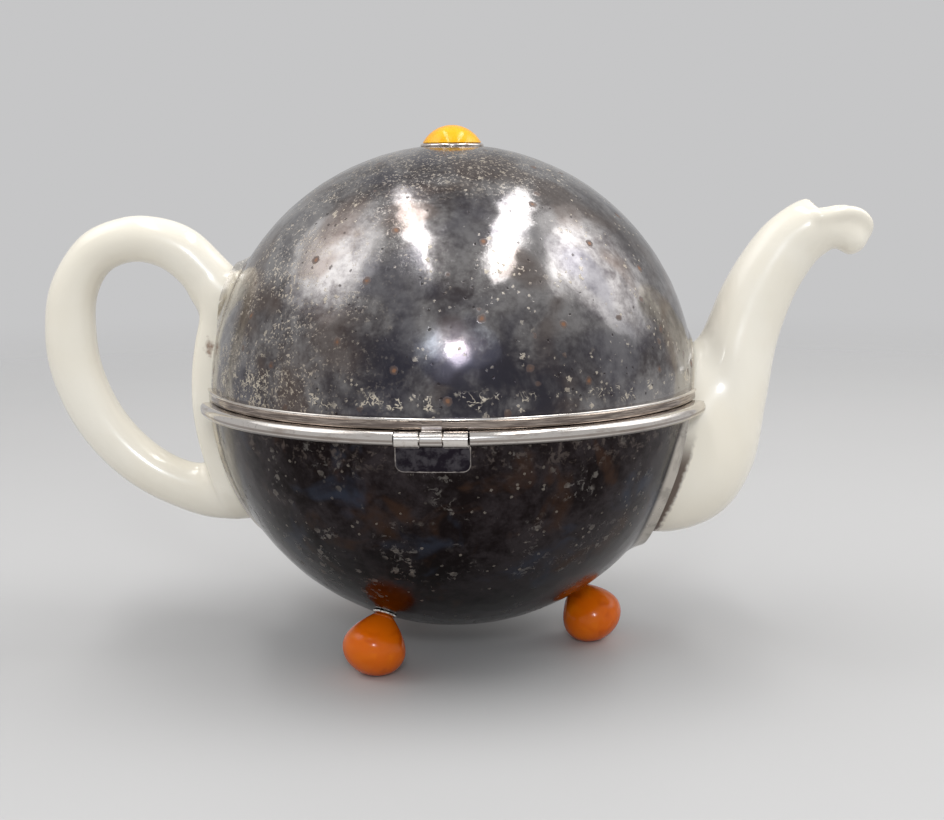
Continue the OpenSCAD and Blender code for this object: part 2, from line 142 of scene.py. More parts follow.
def soft_min(a, b, k):
    h = np.clip(0.5 + 0.5 * (b - a) / k, 0, 1)
    return b + (a - b) * h - k * h * (1 - h)


def soft_max(a, b, k):
    return -soft_min(-a, -b, k)


def rise(x, low, high):
    t = np.clip((x - low) / (high - low), 0, 1)
    return t * t * (3 - 2 * t)


# ---------------------------------------------------------------- openings
def slot_distance(ends, y, z):
    """Distance in the YZ plane outside the outline around round ends; negative inside"""
    best = None
    for (za, ra), (zb, rb) in zip(ends, ends[1:]):
        h = zb - za
        b = (ra - rb) / h
        a = math.sqrt(1 - b * b)
        u, v = np.abs(y), z - za
        k = -u * b + v * a
        d = np.where(k < 0, np.hypot(u, v) - ra,
                     np.where(k > a * h, np.hypot(u, v - h) - rb, u * a + v * b - ra))
        best = d if best is None else np.minimum(best, d)
    return best


def opening_distance(p):
    x, y, z = p[:, 0], p[:, 1], p[:, 2]
    spout = np.where(x > 0, slot_distance(SPOUT_ENDS, y, z), 200)
    handle = np.where(x < 0, slot_distance(HANDLE_ENDS, y, z), 200)
    return np.minimum(spout, handle)


# ---------------------------------------------------------------- shells
UNCUT_EDGE = 88.6
SHELL_CUTS = 92
FELT_CUTS = 56


def geodesic(cuts):
    """Unit sphere of triangles: an icosahedron whose edges are each cut that many times"""
    g = (1 + 5**0.5) / 2
    v = np.array([(-1, g, 0), (1, g, 0), (-1, -g, 0), (1, -g, 0), (0, -1, g), (0, 1, g),
                  (0, -1, -g), (0, 1, -g), (g, 0, -1), (g, 0, 1), (-g, 0, -1), (-g, 0, 1)], float)
    f = [(0, 11, 5), (0, 5, 1), (0, 1, 7), (0, 7, 10), (0, 10, 11), (1, 5, 9), (5, 11, 4),
         (11, 10, 2), (10, 7, 6), (7, 1, 8), (3, 9, 4), (3, 4, 2), (3, 2, 6), (3, 6, 8),
         (3, 8, 9), (4, 9, 5), (2, 4, 11), (6, 2, 10), (8, 6, 7), (9, 8, 1)]
    v /= np.linalg.norm(v[0])
    i, j = np.meshgrid(np.arange(cuts + 1), np.arange(cuts + 1), indexing="ij")
    keep = (i + j) <= cuts
    index = -np.ones((cuts + 1, cuts + 1), int)
    index[keep] = np.arange(keep.sum())
    gi, gj = i[keep], j[keep]
    tris = []
    for a in range(cuts):
        for b in range(cuts - a):
            tris.append((index[a, b], index[a + 1, b], index[a, b + 1]))
            if a + b < cuts - 1:
                tris.append((index[a + 1, b], index[a + 1, b + 1], index[a, b + 1]))
    tris = np.array(tris)
    points, faces = [], []
    for n, (a, b, c) in enumerate(f):
        p = (v[a] * (cuts - gi - gj)[:, None] + v[b] * gi[:, None] + v[c] * gj[:, None]) / cuts
        points.append(p / np.linalg.norm(p, axis=1)[:, None])
        faces.append(tris + n * len(p))
    points, faces = np.vstack(points), np.vstack(faces)
    _, first, same = np.unique(np.round(points, 6), axis=0, return_index=True, return_inverse=True)
    return points[first], same.reshape(-1)[faces]


def on_zero(p, field, r, rounds=4):
    """Moves points along the sphere of radius r onto field = 0"""
    for _ in range(rounds):
        g0 = field(p)
        grad = np.stack([(field(p + e) - g0) / 0.01 for e in np.eye(3) * 0.01], 1)
        n = p / np.linalg.norm(p, axis=1)[:, None]
        grad -= (grad * n).sum(1)[:, None] * n
        p = p - grad * (g0 / np.maximum((grad**2).sum(1), 0.05))[:, None]
        p = p / np.linalg.norm(p, axis=1)[:, None] * r
    return p


def trim(points, tris, field, r, edge):
    """Keeps what has field > 0 and cuts the triangles on its edge along field = 0"""
    g = field(points)
    near = np.abs(g) < 0.35 * edge
    points = points.copy()
    points[near] = on_zero(points[near], field, r)
    g = np.where(near, 0.0, g)
    sign = np.where(g > 0, 1, np.where(g < 0, -1, 0))
    s = sign[tris]
    keep = tris[(s >= 0).all(1) & (s > 0).any(1)]
    mixed = tris[(s > 0).any(1) & (s < 0).any(1)]
    extra, made, cut = [], {}, []

    def middle(a, b):
        key = (min(a, b), max(a, b))
        if key not in made:
            t = g[a] / (g[a] - g[b])
            made[key] = len(points) + len(extra)
            extra.append(points[a] * (1 - t) + points[b] * t)
        return made[key]

    for tri in mixed.tolist():
        ring = []
        for a, b in zip(tri, tri[1:] + tri[:1]):
            if sign[a] >= 0:
                ring.append(a)
            if sign[a] * sign[b] < 0:
                ring.append(middle(a, b))
        for k in range(1, len(ring) - 1):
            cut.append((ring[0], ring[k], ring[k + 1]))
    if extra:
        extra = np.array(extra)
        extra = extra / np.linalg.norm(extra, axis=1)[:, None] * r
        points = np.vstack([points, on_zero(extra, field, r, 3)])
        keep = np.vstack([keep, np.array(cut)])
    used = np.unique(keep)
    order = -np.ones(len(points), int)
    order[used] = np.arange(len(used))
    return points[used], order[keep]


def border(tris):
    """Edges with one triangle, in that triangle's direction"""
    e = np.vstack([tris[:, [0, 1]], tris[:, [1, 2]], tris[:, [2, 0]]])
    far = np.concatenate([tris[:, 2], tris[:, 0], tris[:, 1]])
    key = np.sort(e, 1)
    _, same, count = np.unique(key, axis=0, return_inverse=True, return_counts=True)
    single = count[same.reshape(-1)] == 1
    return e[single], far[single]


def both_sides(tris, count):
    """Faces of a sheet: its outside, then the same turned over, count points further on"""
    outside = [tuple(tri) for tri in tris.tolist()]
    return outside + [(c + count, b + count, a + count) for a, b, c in outside]


BLOW_SPACING = 5.8
BLOW_JITTER = 0.26
BLOW_TILT, BLOW_DEPTH = 0.006, 0.006
BLOW_FLATNESS = 0.6
BLOW_SOFT = 0.006


def hammer_cells(spacing):
    """Evenly spread, jittered centres of hammer blows on the ball, with a small tilt for each"""
    n = int(4 * math.pi * SHELL_R**2 / (0.87 * spacing**2))
    i = np.arange(n) + 0.5
    phi, turn = np.arccos(1 - 2 * i / n), math.pi * (1 + 5**0.5) * i
    c = np.stack([np.cos(turn) * np.sin(phi), np.sin(turn) * np.sin(phi), np.cos(phi)], 1)
    c += rng.normal(0, BLOW_JITTER * spacing / SHELL_R, c.shape)
    c /= np.linalg.norm(c, axis=1)[:, None]
    tree = kdtree.KDTree(n)
    for k, blow in enumerate(c):
        tree.insert(blow * SHELL_R, k)
    tree.balance()
    return c * SHELL_R, rng.normal(0, BLOW_TILT, (n, 3)), rng.normal(0, BLOW_DEPTH, n), tree


CELLS = hammer_cells(BLOW_SPACING)


def hammered(points):
    """Height in mm of the planished facets at points on the ball"""
    centres, tilt, depth, tree = CELLS
    unit = points / np.linalg.norm(points, axis=1)[:, None] * SHELL_R
    near = np.array([[hit[1] for hit in tree.find_n(p, 4)] for p in unit.tolist()])
    off = unit[:, None, :] - centres[near]
    flat = BLOW_FLATNESS * (off**2).sum(2) / (2 * SHELL_R)
    h = flat + (off * tilt[near]).sum(2) + depth[near]
    return -BLOW_SOFT * np.log(np.exp(-h / BLOW_SOFT).sum(1))


def lip_size(p):
    """Height and width of the turned-out edge at p: an ear over the handle, plain lips elsewhere"""
    x, z = p[:, 0], p[:, 2]
    spout_side = x > 0
    on_dome = z > PARTING
    dome_tall = np.where(spout_side, 0.8, 0.7 + 2.9 * rise(z, 16, 33))
    dome_wide = np.where(spout_side, 3.4, 3.4 + 2.2 * rise(z, 16, 33))
    bowl_tall = np.where(spout_side, 1.2 + 1.4 * rise(-z, 4, 24), 1.5)
    bowl_wide = np.where(spout_side, 4.8, 4.4)
    return np.where(on_dome, dome_tall, bowl_tall), np.where(on_dome, dome_wide, bowl_wide)


def flare(p, d):
    """How far the turned-out edge of an opening stands off at p, at distance d from the edge"""
    tall, wide = lip_size(p)
    return tall * (1 - np.clip(d / wide, 0, 1)) ** 1.7


def edge_directions(points, edges, far, rim_ids, place):
    """For each point on the border, which way leads off the sheet"""
    out = np.zeros((len(rim_ids), 3))
    for (a, b), c in zip(edges.tolist(), far.tolist()):
        along = points[b] - points[a]
        away = (points[a] + points[b]) / 2 - points[c]
        away -= (away @ along) * along / max((along**2).sum(), 1e-9)
        away /= max(np.linalg.norm(away), 1e-9)
        out[place[a]] += away
        out[place[b]] += away
    return out / np.maximum(np.linalg.norm(out, axis=1)[:, None], 1e-9)


def half_ball(top, cuts, parting_gap, opening_gap):
    """Half of the ball, cut back by those gaps from the parting and from the openings. Gives
    its points, its triangles and how far each point is from the nearer cut"""
    side = 1 if top else -1

    def past_parting(p):
        return side * (p[:, 2] - PARTING) - parting_gap

    def past_opening(p):
        return opening_distance(p) - opening_gap

    unit, tris = geodesic(cuts)
    points = unit * SHELL_R
    for field in (past_parting, past_opening):
        points, tris = trim(points, tris, field, SHELL_R, UNCUT_EDGE / cuts)
    return points, tris, np.minimum(past_parting(points), past_opening(points))


PARTING_GAP = 0.05
EDGE_BULGE = 0.42


def shell(name, top, stands_for, material):
    """Half of the cosy: hammered plate with turned-out, rounded edges at its openings"""
    points, tris, _ = half_ball(top, SHELL_CUTS, PARTING_GAP, 0.0)
    d = np.maximum(opening_distance(points), 0)
    n = points / SHELL_R
    # no hammer marks at the rim, round the openings and under the knob's plate
    calm = rise(np.abs(points[:, 2] - PARTING), 1.5, 5) * rise(d, 1.0, 5)
    if top:
        calm *= rise(np.hypot(points[:, 0], points[:, 1]), 10.5, 13)
    outer = points + n * (flare(points, d) + hammered(points) * calm - 0.04)[:, None]
    inner = points + n * (flare(points, d) - SHELL_T)[:, None]
    edges, far = border(tris)
    count = len(points)
    rim_ids = np.unique(edges)
    place = {int(v): k for k, v in enumerate(rim_ids)}
    away = edge_directions(points, edges, far, rim_ids, place)
    at_parting = np.abs(points[rim_ids, 2] - PARTING) < 0.2
    bulge = np.where(at_parting, 0.0, EDGE_BULGE)[:, None]
    middle = (outer[rim_ids] + inner[rim_ids]) / 2 + away * bulge
    faces = both_sides(tris, count)
    for a, b in edges.tolist():
        ma, mb = 2 * count + place[a], 2 * count + place[b]
        faces.append((b, a, ma, mb))
        faces.append((mb, ma, a + count, b + count))
    tall, wide = lip_size(points)
    bare = (1 - np.clip(d / wide, 0, 1)) * np.clip(tall / 2.0, 0.4, 1.0)
    build(name, np.vstack([outer, inner, middle]), faces, "dome" if top else "base", stands_for,
          "plate_upper" if top else "plate_lower", material, angle=50,
          bare=np.concatenate([bare, bare, bare[rim_ids]]))


FELT_BACK = 0.9
FELT_OPENING = 2.2


def lining(name, top, stands_for, material):
    """Felt between shell and pot: a soft sheet with rounded, slightly uneven edges"""
    points, tris, d = half_ball(top, FELT_CUTS, FELT_BACK, FELT_OPENING)
    n = points / SHELL_R
    wave = np.zeros(len(points))
    for k in range(9):
        axis = rng.normal(0, 1, 3)
        axis /= np.linalg.norm(axis)
        wave += np.sin(n @ axis * (9 + 4 * k) + k) * 0.09
    round_off = 0.9 * (1 - np.clip(d / FELT_OPENING, 0, 1)) ** 2
    outer = n * (LINING_OUT - 0.15 - round_off)[:, None]
    inner = n * (LINING_IN + 0.35 + round_off + wave * 0.5)[:, None]
    edges, _ = border(tris)
    count = len(points)
    faces = both_sides(tris, count) + [(b, a, a + count, b + count) for a, b in edges.tolist()]
    body = "dome" if top else "base"
    felt_sheet = build(name, np.vstack([outer, inner]), faces, body, stands_for, "felt", material)


# ---------------------------------------------------------------- porcelain
HANDLE_W = 7.5
# Sections stand on a line in the XZ plane: x and z of its one end, then of its other end
HANDLE_LINES = [
    (-62, 10, -54, 24), (-79, 19, -66, 32), (-87, 26.5, -76, 42), (-91.5, 34, -86.5, 52),
    (-99, 40, -98, 56.5), (-108, 41.8, -111, 56.8), (-116.5, 38.6, -125.5, 50.8),
    (-121.3, 30.5, -136.2, 36), (-122.3, 20, -139.5, 19.5), (-120.9, 7, -137.7, 2.4),
    (-115.5, -6.3, -129.6, -15.7), (-106.8, -17.4, -116, -31), (-95.5, -25.2, -98.8, -41.2),
    (-84, -27, -78, -46.4), (-64, -22, -50, -40)]
HANDLE_PATH = [(*ends, HANDLE_W, 0) for ends in HANDLE_LINES]
# The same four numbers, then half the width across and how much fuller the low end is
SPOUT_PATH = [
    (62, 10, 50, -45, 22, 0.25), (73.5, 12, 70.5, -49.3, 22, 0.25), (79.5, 14.5, 89, -43, 19.5, 0.2),
    (82.6, 18.2, 99.6, -27.5, 16, 0.1), (85.1, 24, 103.9, -5, 13.8, 0), (88.6, 32.5, 107.0, 14, 11.6, 0),
    (94, 42.3, 112.2, 29.5, 10.2, 0), (101.4, 52.3, 118.4, 40.2, 9.2, 0), (109, 58.6, 122.8, 44.3, 9.2, 0),
    (115.4, 61.6, 125, 45.3, 9.0, 0), (121.5, 61.2, 127.3, 44.9, 8.2, 0),
    (128.3, 60.6, 129.6, 44.0, 7.0, 0), (132.6, 58.2, 132.0, 45.2, 5.8, 0),
    (134.9, 55.4, 134.6, 48.4, 3.6, 0)]
CHANNEL_STATIONS = 9
TROUGH_PATH = [
    (109.5, 50, 117, 42.5, 6.0, 0), (115.8, 58, 121, 48.5, 6.0, 0), (118.6, 66, 123.6, 50.5, 6.0, 0),
    (122.5, 68, 126, 51.5, 5.8, 0), (128.6, 68, 129.4, 53, 4.4, 0), (131.6, 67.5, 132.2, 56.2, 3.2, 0),
    (134.4, 67, 135.0, 61, 1.8, 0)]
LIP_ROLL = [
    (119.5, 7.6, 56.0), (124, 7.3, 56.8), (128.5, 6.2, 57.4), (132.5, 4.6, 56.2), (134.9, 2.6, 53.6),
    (135.1, 0, 50.8)]
LIP_ROLL_R = 2.0
DROP_AT, DROP_R = (130.6, 48.4), 4.7
STRAINER_ROWS = [-33.5, -26.5, -19.5, -12.5, -5.5]
STRAINER_PITCH, STRAINER_R = 7.0, 1.6
NOTCH_X, NOTCH_Z = 120.6, 57.5
SPOUT_WALL = 4.2
FAR = 1000.0
BOSS_ENDS = [(-33, 11.5), (-6, 12), (30, 6.5)]
POT_R, POT_IN = 73.0, 69.0
BODY_TOP = 56
FOOT_RING_R, FOOT_RING_HALF, FOOT_RING_TOP = 29, 2, -60
SEAT_R, SEAT_Z = 40.0, 53.5
MOUTH_R, LEDGE_Z = 36.0, 49.5
LUG_WAY_HALF, LUG_WAY_Z = 5.0, 48.5


class Tube:
    """Rough distance to a tube of elliptic sections that stand on a line in the XZ plane"""
    REACH = 12.0

    def __init__(self, path, inset=0.0, steps=8):
        s = spline(path, steps)
        self.upper, self.lower = s[:, 0:2], s[:, 2:4]
        self.wide, self.egg, self.inset = s[:, 4], s[:, 5], inset

    def plane(self, x, z):
        """What depends on x and z alone: place along the section, its half length and half
        width, its fullness, and the overrun past the tube's ends"""
        p = np.stack([x, z], 1)
        up, low = self.upper, self.lower
        along = up - low
        length = np.linalg.norm(along, axis=1)
        unit = along / length[:, None]
        out = []
        for start in range(0, len(p), 20000):
            q = p[start:start + 20000]
            off = q[:, None, :] - low[None]
            side = unit[None, :, 0] * off[:, :, 1] - unit[None, :, 1] * off[:, :, 0]
            a, b = side[:, :-1], side[:, 1:]
            hit = (a * b <= 0) & (a != b)
            t = np.where(hit, a / np.where(a == b, 1, a - b), 0)
            low_t = low[None, :-1] * (1 - t[..., None]) + low[None, 1:] * t[..., None]
            up_t = up[None, :-1] * (1 - t[..., None]) + up[None, 1:] * t[..., None]
            half = np.linalg.norm(up_t - low_t, axis=2) / 2
            mid = (up_t + low_t) / 2
            direction = (up_t - low_t) / (2 * half[..., None])
            along_t = ((q[:, None, :] - mid) * direction).sum(2)
            score = np.where(hit, np.abs(along_t) / half, 1e9)
            k = score.argmin(1)
            r = np.arange(len(q))
            none = score[r, k] > 1e8
            wide = self.wide[:-1][k] * (1 - t[r, k]) + self.wide[1:][k] * t[r, k]
            egg = self.egg[:-1][k] * (1 - t[r, k]) + self.egg[1:][k] * t[r, k]
            u, h, over = along_t[r, k], half[r, k], np.zeros(len(q))
            for e in (0, len(low) - 1):
                c, hh = (up[e] + low[e]) / 2, length[e] / 2
                ue = (q - c) @ unit[e]
                de = np.abs(side[:, e])
                this_far = np.hypot(de, np.maximum(np.abs(ue) - hh, 0))
                so_far = np.hypot(over, np.maximum(np.abs(u) - h, 0))
                take = none & ((over == 0) | (this_far < so_far))
                u, h, over = np.where(take, ue, u), np.where(take, hh, h), np.where(take, de, over)
                wide, egg = np.where(take, self.wide[e], wide), np.where(take, self.egg[e], egg)
            out.append(np.stack([u, h, wide, egg, over], 1))
        return np.vstack(out)

    def value(self, plane, y):
        u, h, wide, egg, over = (plane[..., i] for i in range(5))
        h = np.maximum(h - self.inset, 0.3)
        b = np.maximum(wide - self.inset, 0.3) * (1 - egg * np.clip(u / h, -1, 1))
        rho = np.sqrt((u / h) ** 2 + (y / b) ** 2) + 1e-9
        slope = np.sqrt(u**2 / h**4 + y**2 / b**4) / rho + 1e-6
        d = (rho - 1) / slope
        past_end = np.hypot(np.maximum(d, 0), over) + np.minimum(np.maximum(d, -0.001), 0)
        return np.where(over > 0, past_end, d)

    def __call__(self, p):
        """Only points in the tube's own box are worked out; the rest are simply far"""
        ends = np.vstack([self.upper, self.lower])
        low, high = ends.min(0) - self.REACH, ends.max(0) + self.REACH
        near = ((p[:, [0, 2]] > low) & (p[:, [0, 2]] < high)).all(1)
        near &= np.abs(p[:, 1]) < self.wide.max() + self.REACH
        out = np.full(len(p), self.REACH)
        q = p[near]
        out[near] = self.value(self.plane(q[:, 0], q[:, 2]), q[:, 1])
        return out


HANDLE, SPOUT = Tube(HANDLE_PATH), Tube(SPOUT_PATH)
CHANNEL, TROUGH = Tube(SPOUT_PATH[:CHANNEL_STATIONS], SPOUT_WALL), Tube(TROUGH_PATH)
TUBES = (HANDLE, SPOUT, CHANNEL, TROUGH)


def lip_roll(x, y, z):
    """Distance to the rolled edge along the beak"""
    x, y, z = np.broadcast_arrays(x, y, z)
    near = (x > 108) & (z > 42) & (np.abs(y) < 20)
    best = np.full(x.shape, 40.0)
    q = np.stack([x[near], np.abs(y[near]), z[near]], 1)
    gap = np.full(len(q), 40.0)
    path = spline(LIP_ROLL, 4)
    for a, b in zip(path, path[1:]):
        t = np.clip(((q - a) @ (b - a)) / ((b - a) @ (b - a)), 0, 1)[:, None]
        gap = np.minimum(gap, np.linalg.norm(q - a - t * (b - a), axis=1) - LIP_ROLL_R)
    best[near] = gap
    return best


def strainer(x, y, z, r):
    """Three columns of holes through the pot's wall behind the spout"""
    hole = FAR
    for row in STRAINER_ROWS:
        for column in (0.0, STRAINER_PITCH):
            hole = np.minimum(hole, np.hypot(np.abs(y) - column, z - row))
    return np.maximum(hole - STRAINER_R, np.maximum(55.0 - x, r - POT_R - 1.5))


def porcelain_value(x, y, z, tubes):
    """Below 0 inside the fired clay: one form with soft joins between body, boss, handle and spout"""
    handle, spout, channel, trough = tubes
    r = np.sqrt(x * x + y * y + z * z)
    flat = np.hypot(x, y)
    body = soft_max(r - POT_R, z - BODY_TOP, 3.0)
    ring = np.abs(flat - FOOT_RING_R) - FOOT_RING_HALF
    ring = np.maximum(ring, np.maximum(r - LINING_IN, z - FOOT_RING_TOP))
    body = soft_min(body, ring, 1.5)
    boss = soft_max(r - 88.0, slot_distance(BOSS_ENDS, y, z), 2.5)
    boss = np.where(x < -30, boss, 30.0)
    grip = soft_min(handle, boss, 4.5)
    body = soft_min(body, grip, 4.0)
    notch = NOTCH_Z + np.where(x < NOTCH_X, 1.0, 0.30) * np.abs(x - NOTCH_X)
    spout = soft_max(spout, np.where(x > 100, z - notch, -30), 1.6)
    spout = soft_min(spout, lip_roll(x, y, z), 2.2)
    drop = np.sqrt((x - DROP_AT[0]) ** 2 + (0.72 * y) ** 2 + (z - DROP_AT[1]) ** 2) - DROP_R
    spout = soft_min(spout, drop, 2.0)
    body = soft_min(body, spout, 4.0)
    body = soft_max(body, -soft_max(channel, POT_R - r, 0.4), 0.8)
    body = soft_max(body, -trough, 2.0)
    body = np.maximum(body, -strainer(x, y, z, r))
    seat = np.maximum(flat - SEAT_R, SEAT_Z - z)
    body = soft_max(body, -seat, 1.2)
    bore = np.maximum(flat - MOUTH_R, LEDGE_Z - z)
    inside = soft_min(r - POT_IN, bore, 0.5)
    inside = np.maximum(inside, np.where(flat > MOUTH_R, z - LEDGE_Z, -50))
    # the lid's lug goes in through a gap in the ledge, on the handle's side
    way_in = np.maximum(np.abs(y) - LUG_WAY_HALF, flat - SEAT_R)
    way_in = np.maximum(way_in, np.maximum(LUG_WAY_Z - z, x))
    body = soft_max(body, -inside, 0.8)
    return soft_max(body, -way_in, 0.5)


def porcelain_at(p):
    """The same at scattered points"""
    return porcelain_value(p[:, 0], p[:, 1], p[:, 2], [t(p) for t in TUBES])


def surface_nets(step):
    """Closed mesh of the porcelain: one point in each grid cell that its surface crosses"""
    lo, hi = np.array([-144, 0, -80]), np.array([142, 79, 72])
    xs = np.arange(lo[0], hi[0], step)
    zs = np.arange(lo[2], hi[2], step)
    ys = np.arange(step / 2, hi[1], step)
    gx, gz = np.meshgrid(xs, zs, indexing="ij")
    planes = [t.plane(gx.ravel(), gz.ravel()).reshape(len(xs), 1, len(zs), 5) for t in TUBES]
    y3 = ys[None, :, None]
    tubes = [t.value(plane, y3) for t, plane in zip(TUBES, planes)]
    half = porcelain_value(xs[:, None, None], y3, zs[None, None, :], tubes)
    field = np.concatenate([half[:, ::-1], half], 1)
    ys = np.concatenate([-ys[::-1], ys])
    inside = field < 0
    corners = [(i, j, k) for i in (0, 1) for j in (0, 1) for k in (0, 1)]
    n = [s - 1 for s in field.shape]

    def part(a, c):
        return a[c[0]:c[0] + n[0], c[1]:c[1] + n[1], c[2]:c[2] + n[2]]

    total = sum(part(inside, c).astype(np.int8) for c in corners)
    active = (total > 0) & (total < 8)
    index = -np.ones(active.shape, np.int64)
    ids = np.argwhere(active)
    index[active] = np.arange(len(ids))
    centre = np.zeros((len(ids), 3))
    weight = np.zeros(len(ids))
    for a in corners:
        for axis in range(3):
            if a[axis]:
                continue
            b = list(a)
            b[axis] = 1
            fa = field[ids[:, 0] + a[0], ids[:, 1] + a[1], ids[:, 2] + a[2]]
            fb = field[ids[:, 0] + b[0], ids[:, 1] + b[1], ids[:, 2] + b[2]]
            cross = (fa < 0) != (fb < 0)
            t = np.where(cross, fa / np.where(cross, fa - fb, 1), 0)
            at = np.array(a, float)[None].repeat(len(ids), 0)
            at[:, axis] = t
            centre += at * cross[:, None]
            weight += cross
    cells = ids + centre / weight[:, None]
    points = np.array([xs[0], ys[0], zs[0]]) + cells * step
    faces = []
    for axis in range(3):
        sl0, sl1 = [slice(None)] * 3, [slice(None)] * 3
        sl0[axis], sl1[axis] = slice(0, -1), slice(1, None)
        a, b = inside[tuple(sl0)], inside[tuple(sl1)]
        where = np.argwhere(a != b)
        u, v = [(1, 2), (2, 0), (0, 1)][axis]
        for side in (u, v):
            where = where[(where[:, side] > 0) & (where[:, side] < field.shape[side] - 1)]
        quad = []
        for du, dv in ((-1, -1), (0, -1), (0, 0), (-1, 0)):
            c = where.copy()
            c[:, u] += du
            c[:, v] += dv
            quad.append(index[c[:, 0], c[:, 1], c[:, 2]])
        quad = np.stack(quad, 1)
        flip = b[where[:, 0], where[:, 1], where[:, 2]]
        quad[flip] = quad[flip][:, ::-1]
        faces.append(quad)
    return points, np.vstack(faces)


def porcelain(material):
    """Pot, handle and spout in one, each point drawn onto the true surface"""
    step = 1.0
    points, faces = surface_nets(step)
    for again in range(3):
        f0 = porcelain_at(points)
        if not again:
            e = 0.05
            grad = np.stack([(porcelain_at(points + d) - f0) / e for d in np.eye(3) * e], 1)
        move = grad * (f0 / np.maximum((grad**2).sum(1), 0.1))[:, None]
        size = np.linalg.norm(move, axis=1)
        points = points - move * np.minimum(1, 0.5 * step / np.maximum(size, 1e-9))[:, None]
    stands_for = ("pot_body", "pot_handle", "pot_spout")
    build("porcelain_pot", points, faces, "base", stands_for, "porcelain", material)


# ---------------------------------------------------------------- rims
def ring_sweep(profile, angles, shrink=None, slant=None):
    """Carries a closed (radius, z) profile round Z. shrink(a) draws it in to a point; slant(a)
    turns the low part of the section back by that angle"""
    prof = np.array(profile, float)
    low, high = prof[:, 1].min(), prof[:, 1].max()
    points = []
    for a in angles:
        q = prof.copy()
        if shrink:
            s, target = shrink(a)
            q = target + (q - target) * s
        back = slant(a) if slant else 0.0
        turn = a + back * (high - prof[:, 1]) / (high - low)
        points += [(r * math.cos(t), r * math.sin(t), z) for (r, z), t in zip(q, turn)]
    m = len(prof)
    faces = []
    for k in range(len(angles) - 1):
        for i in range(m):
            j = (i + 1) % m
            faces.append((k * m + i, (k + 1) * m + i, (k + 1) * m + j, k * m + j))
    faces.append(tuple(range(m)))
    faces.append(tuple(range((len(angles) - 1) * m + m - 1, (len(angles) - 1) * m - 1, -1)))
    return points, faces


BEAD_R, BEAD_OUT, BEAD_Z = 2.3, 83.0, -3.7


def bead_profile():
    """Section of the wire and the ledge that it stands on: radius and height"""
    round_part = [(BEAD_OUT + BEAD_R * math.cos(t), BEAD_Z + BEAD_R * math.sin(t))
                  for t in np.radians(np.linspace(62, -140, 24))]
    ledge = [(79.6, -1.56), (80.8, -1.56), (83.2, -1.56), (83.75, -1.62)]
    return ledge + round_part + [(80.6, -4.7), (79.6, -4.6)]


def arc(a, b, step=0.9):
    """Angles from a to b degrees, step mm apart on the wire"""
    n = max(2, int(abs(math.radians(b - a)) * BEAD_OUT / step))
    return np.radians(np.linspace(a, b, n + 1))


TAIL_END, TAIL_START, TAIL_FULL = 12.3, 13.9, 15.4
TAIL_TIP = np.array([83.9, -2.5])
HANDLE_END, HANDLE_CUT, HANDLE_CUT_ZONE = 159.6, 4.0, 7.0
HALF_HINGE = math.degrees((10.5 + 0.3) / BEAD_OUT)


def lower_rims(material):
    """The wire round the bowl's edge: cut at a slant by the handle, drawn out to a tail by the spout"""

    def shrink(a):
        d = abs(math.degrees(a))
        thin = 0.10 * float(rise(d, TAIL_END, TAIL_START))
        return 0.10 + thin + 0.80 * float(rise(d, TAIL_START, TAIL_FULL)) ** 0.7, TAIL_TIP

    def slant(a):
        d = abs(math.degrees(a))
        share = float(rise(d, HANDLE_END - HANDLE_CUT_ZONE, HANDLE_END))
        return -math.copysign(math.radians(HANDLE_CUT), a) * share

    def wire(start, end):
        return ring_sweep(bead_profile(), arc(start, end), shrink, slant)

    front = merge(wire(-TAIL_END, -90 + HALF_HINGE), wire(-90 - HALF_HINGE, -HANDLE_END))
    back = wire(TAIL_END, HANDLE_END)
    for side, parts in (("front", front), ("back", back)):
        build("lower_rim_%s_wire" % side, *parts, "base", ("lower_rim_" + side,), "rim_silver",
              material, angle=60)


def upper_rims(material):
    """Band round the cover's edge with a fine raised line along its top"""
    band = [(79.4, -1.46), (81.2, -1.46), (81.55, -1.2), (81.6, -0.6), (81.5, 0.4), (81.5, 0.9)]
    line = [(81.62, 1.15), (81.85, 1.25), (81.98, 1.5), (81.92, 1.8), (81.7, 1.97), (81.3, 2.0)]
    profile = band + line + [(80.6, 2.0), (79.4, 2.0)]
    for side, sign in (("front", -1), ("back", 1)):
        swept = ring_sweep(profile, arc(sign * 14.2, sign * 165.0))
        build("upper_rim_%s_band" % side, *swept, "dome", ("upper_rim_" + side,), "rim_silver",
              material, angle=50)


def upper_hinge(material):
    """Middle knuckle with a thin tab that runs up behind it to the band"""
    half, r, bore, bevel, y, z = 3.35, 2.3, 0.92, 0.25, -84.0, BEAD_Z
    prof = [(bore, -half), (r - bevel, -half), (r, -half + bevel), (r, half - bevel),
            (r - bevel, half), (bore, half), (bore, -half)]
    p, f = lathe(prof, 40)
    knuckle = np.stack([p[:, 2], y + p[:, 0], z + p[:, 1]], 1), [face[::-1] for face in f]
    strip = [(-82.15, 1.05), (-82.2, -0.9), (-82.9, -1.9), (-83.6, -2.2), (-83.2, -3.2), (-82.0, -3.2),
             (-81.65, -1.9), (-81.45, -0.9), (-81.45, 1.05)]
    w = half - 0.5
    points = [(x, yy, zz) for x in (-w, w) for yy, zz in strip]
    m = len(strip)
    faces = [(i, (i + 1) % m, m + (i + 1) % m, m + i) for i in range(m)]
    faces += [tuple(range(m - 1, -1, -1)), tuple(range(m, 2 * m))]
    build("upper_hinge_leaf", *merge(knuckle, (points, faces)), "dome", ("hinge_upper_leaf",),
          "rim_silver", material, angle=35)


# ---------------------------------------------------------------- feet and knob
def turned(z_turn):
    """Matrix that takes +Z to the axis of the foot at that angle"""
    m = Matrix.Rotation(math.radians(z_turn), 3, "Z") @ Matrix.Rotation(math.pi - FOOT_LEAN, 3, "Y")
    return np.array(m)


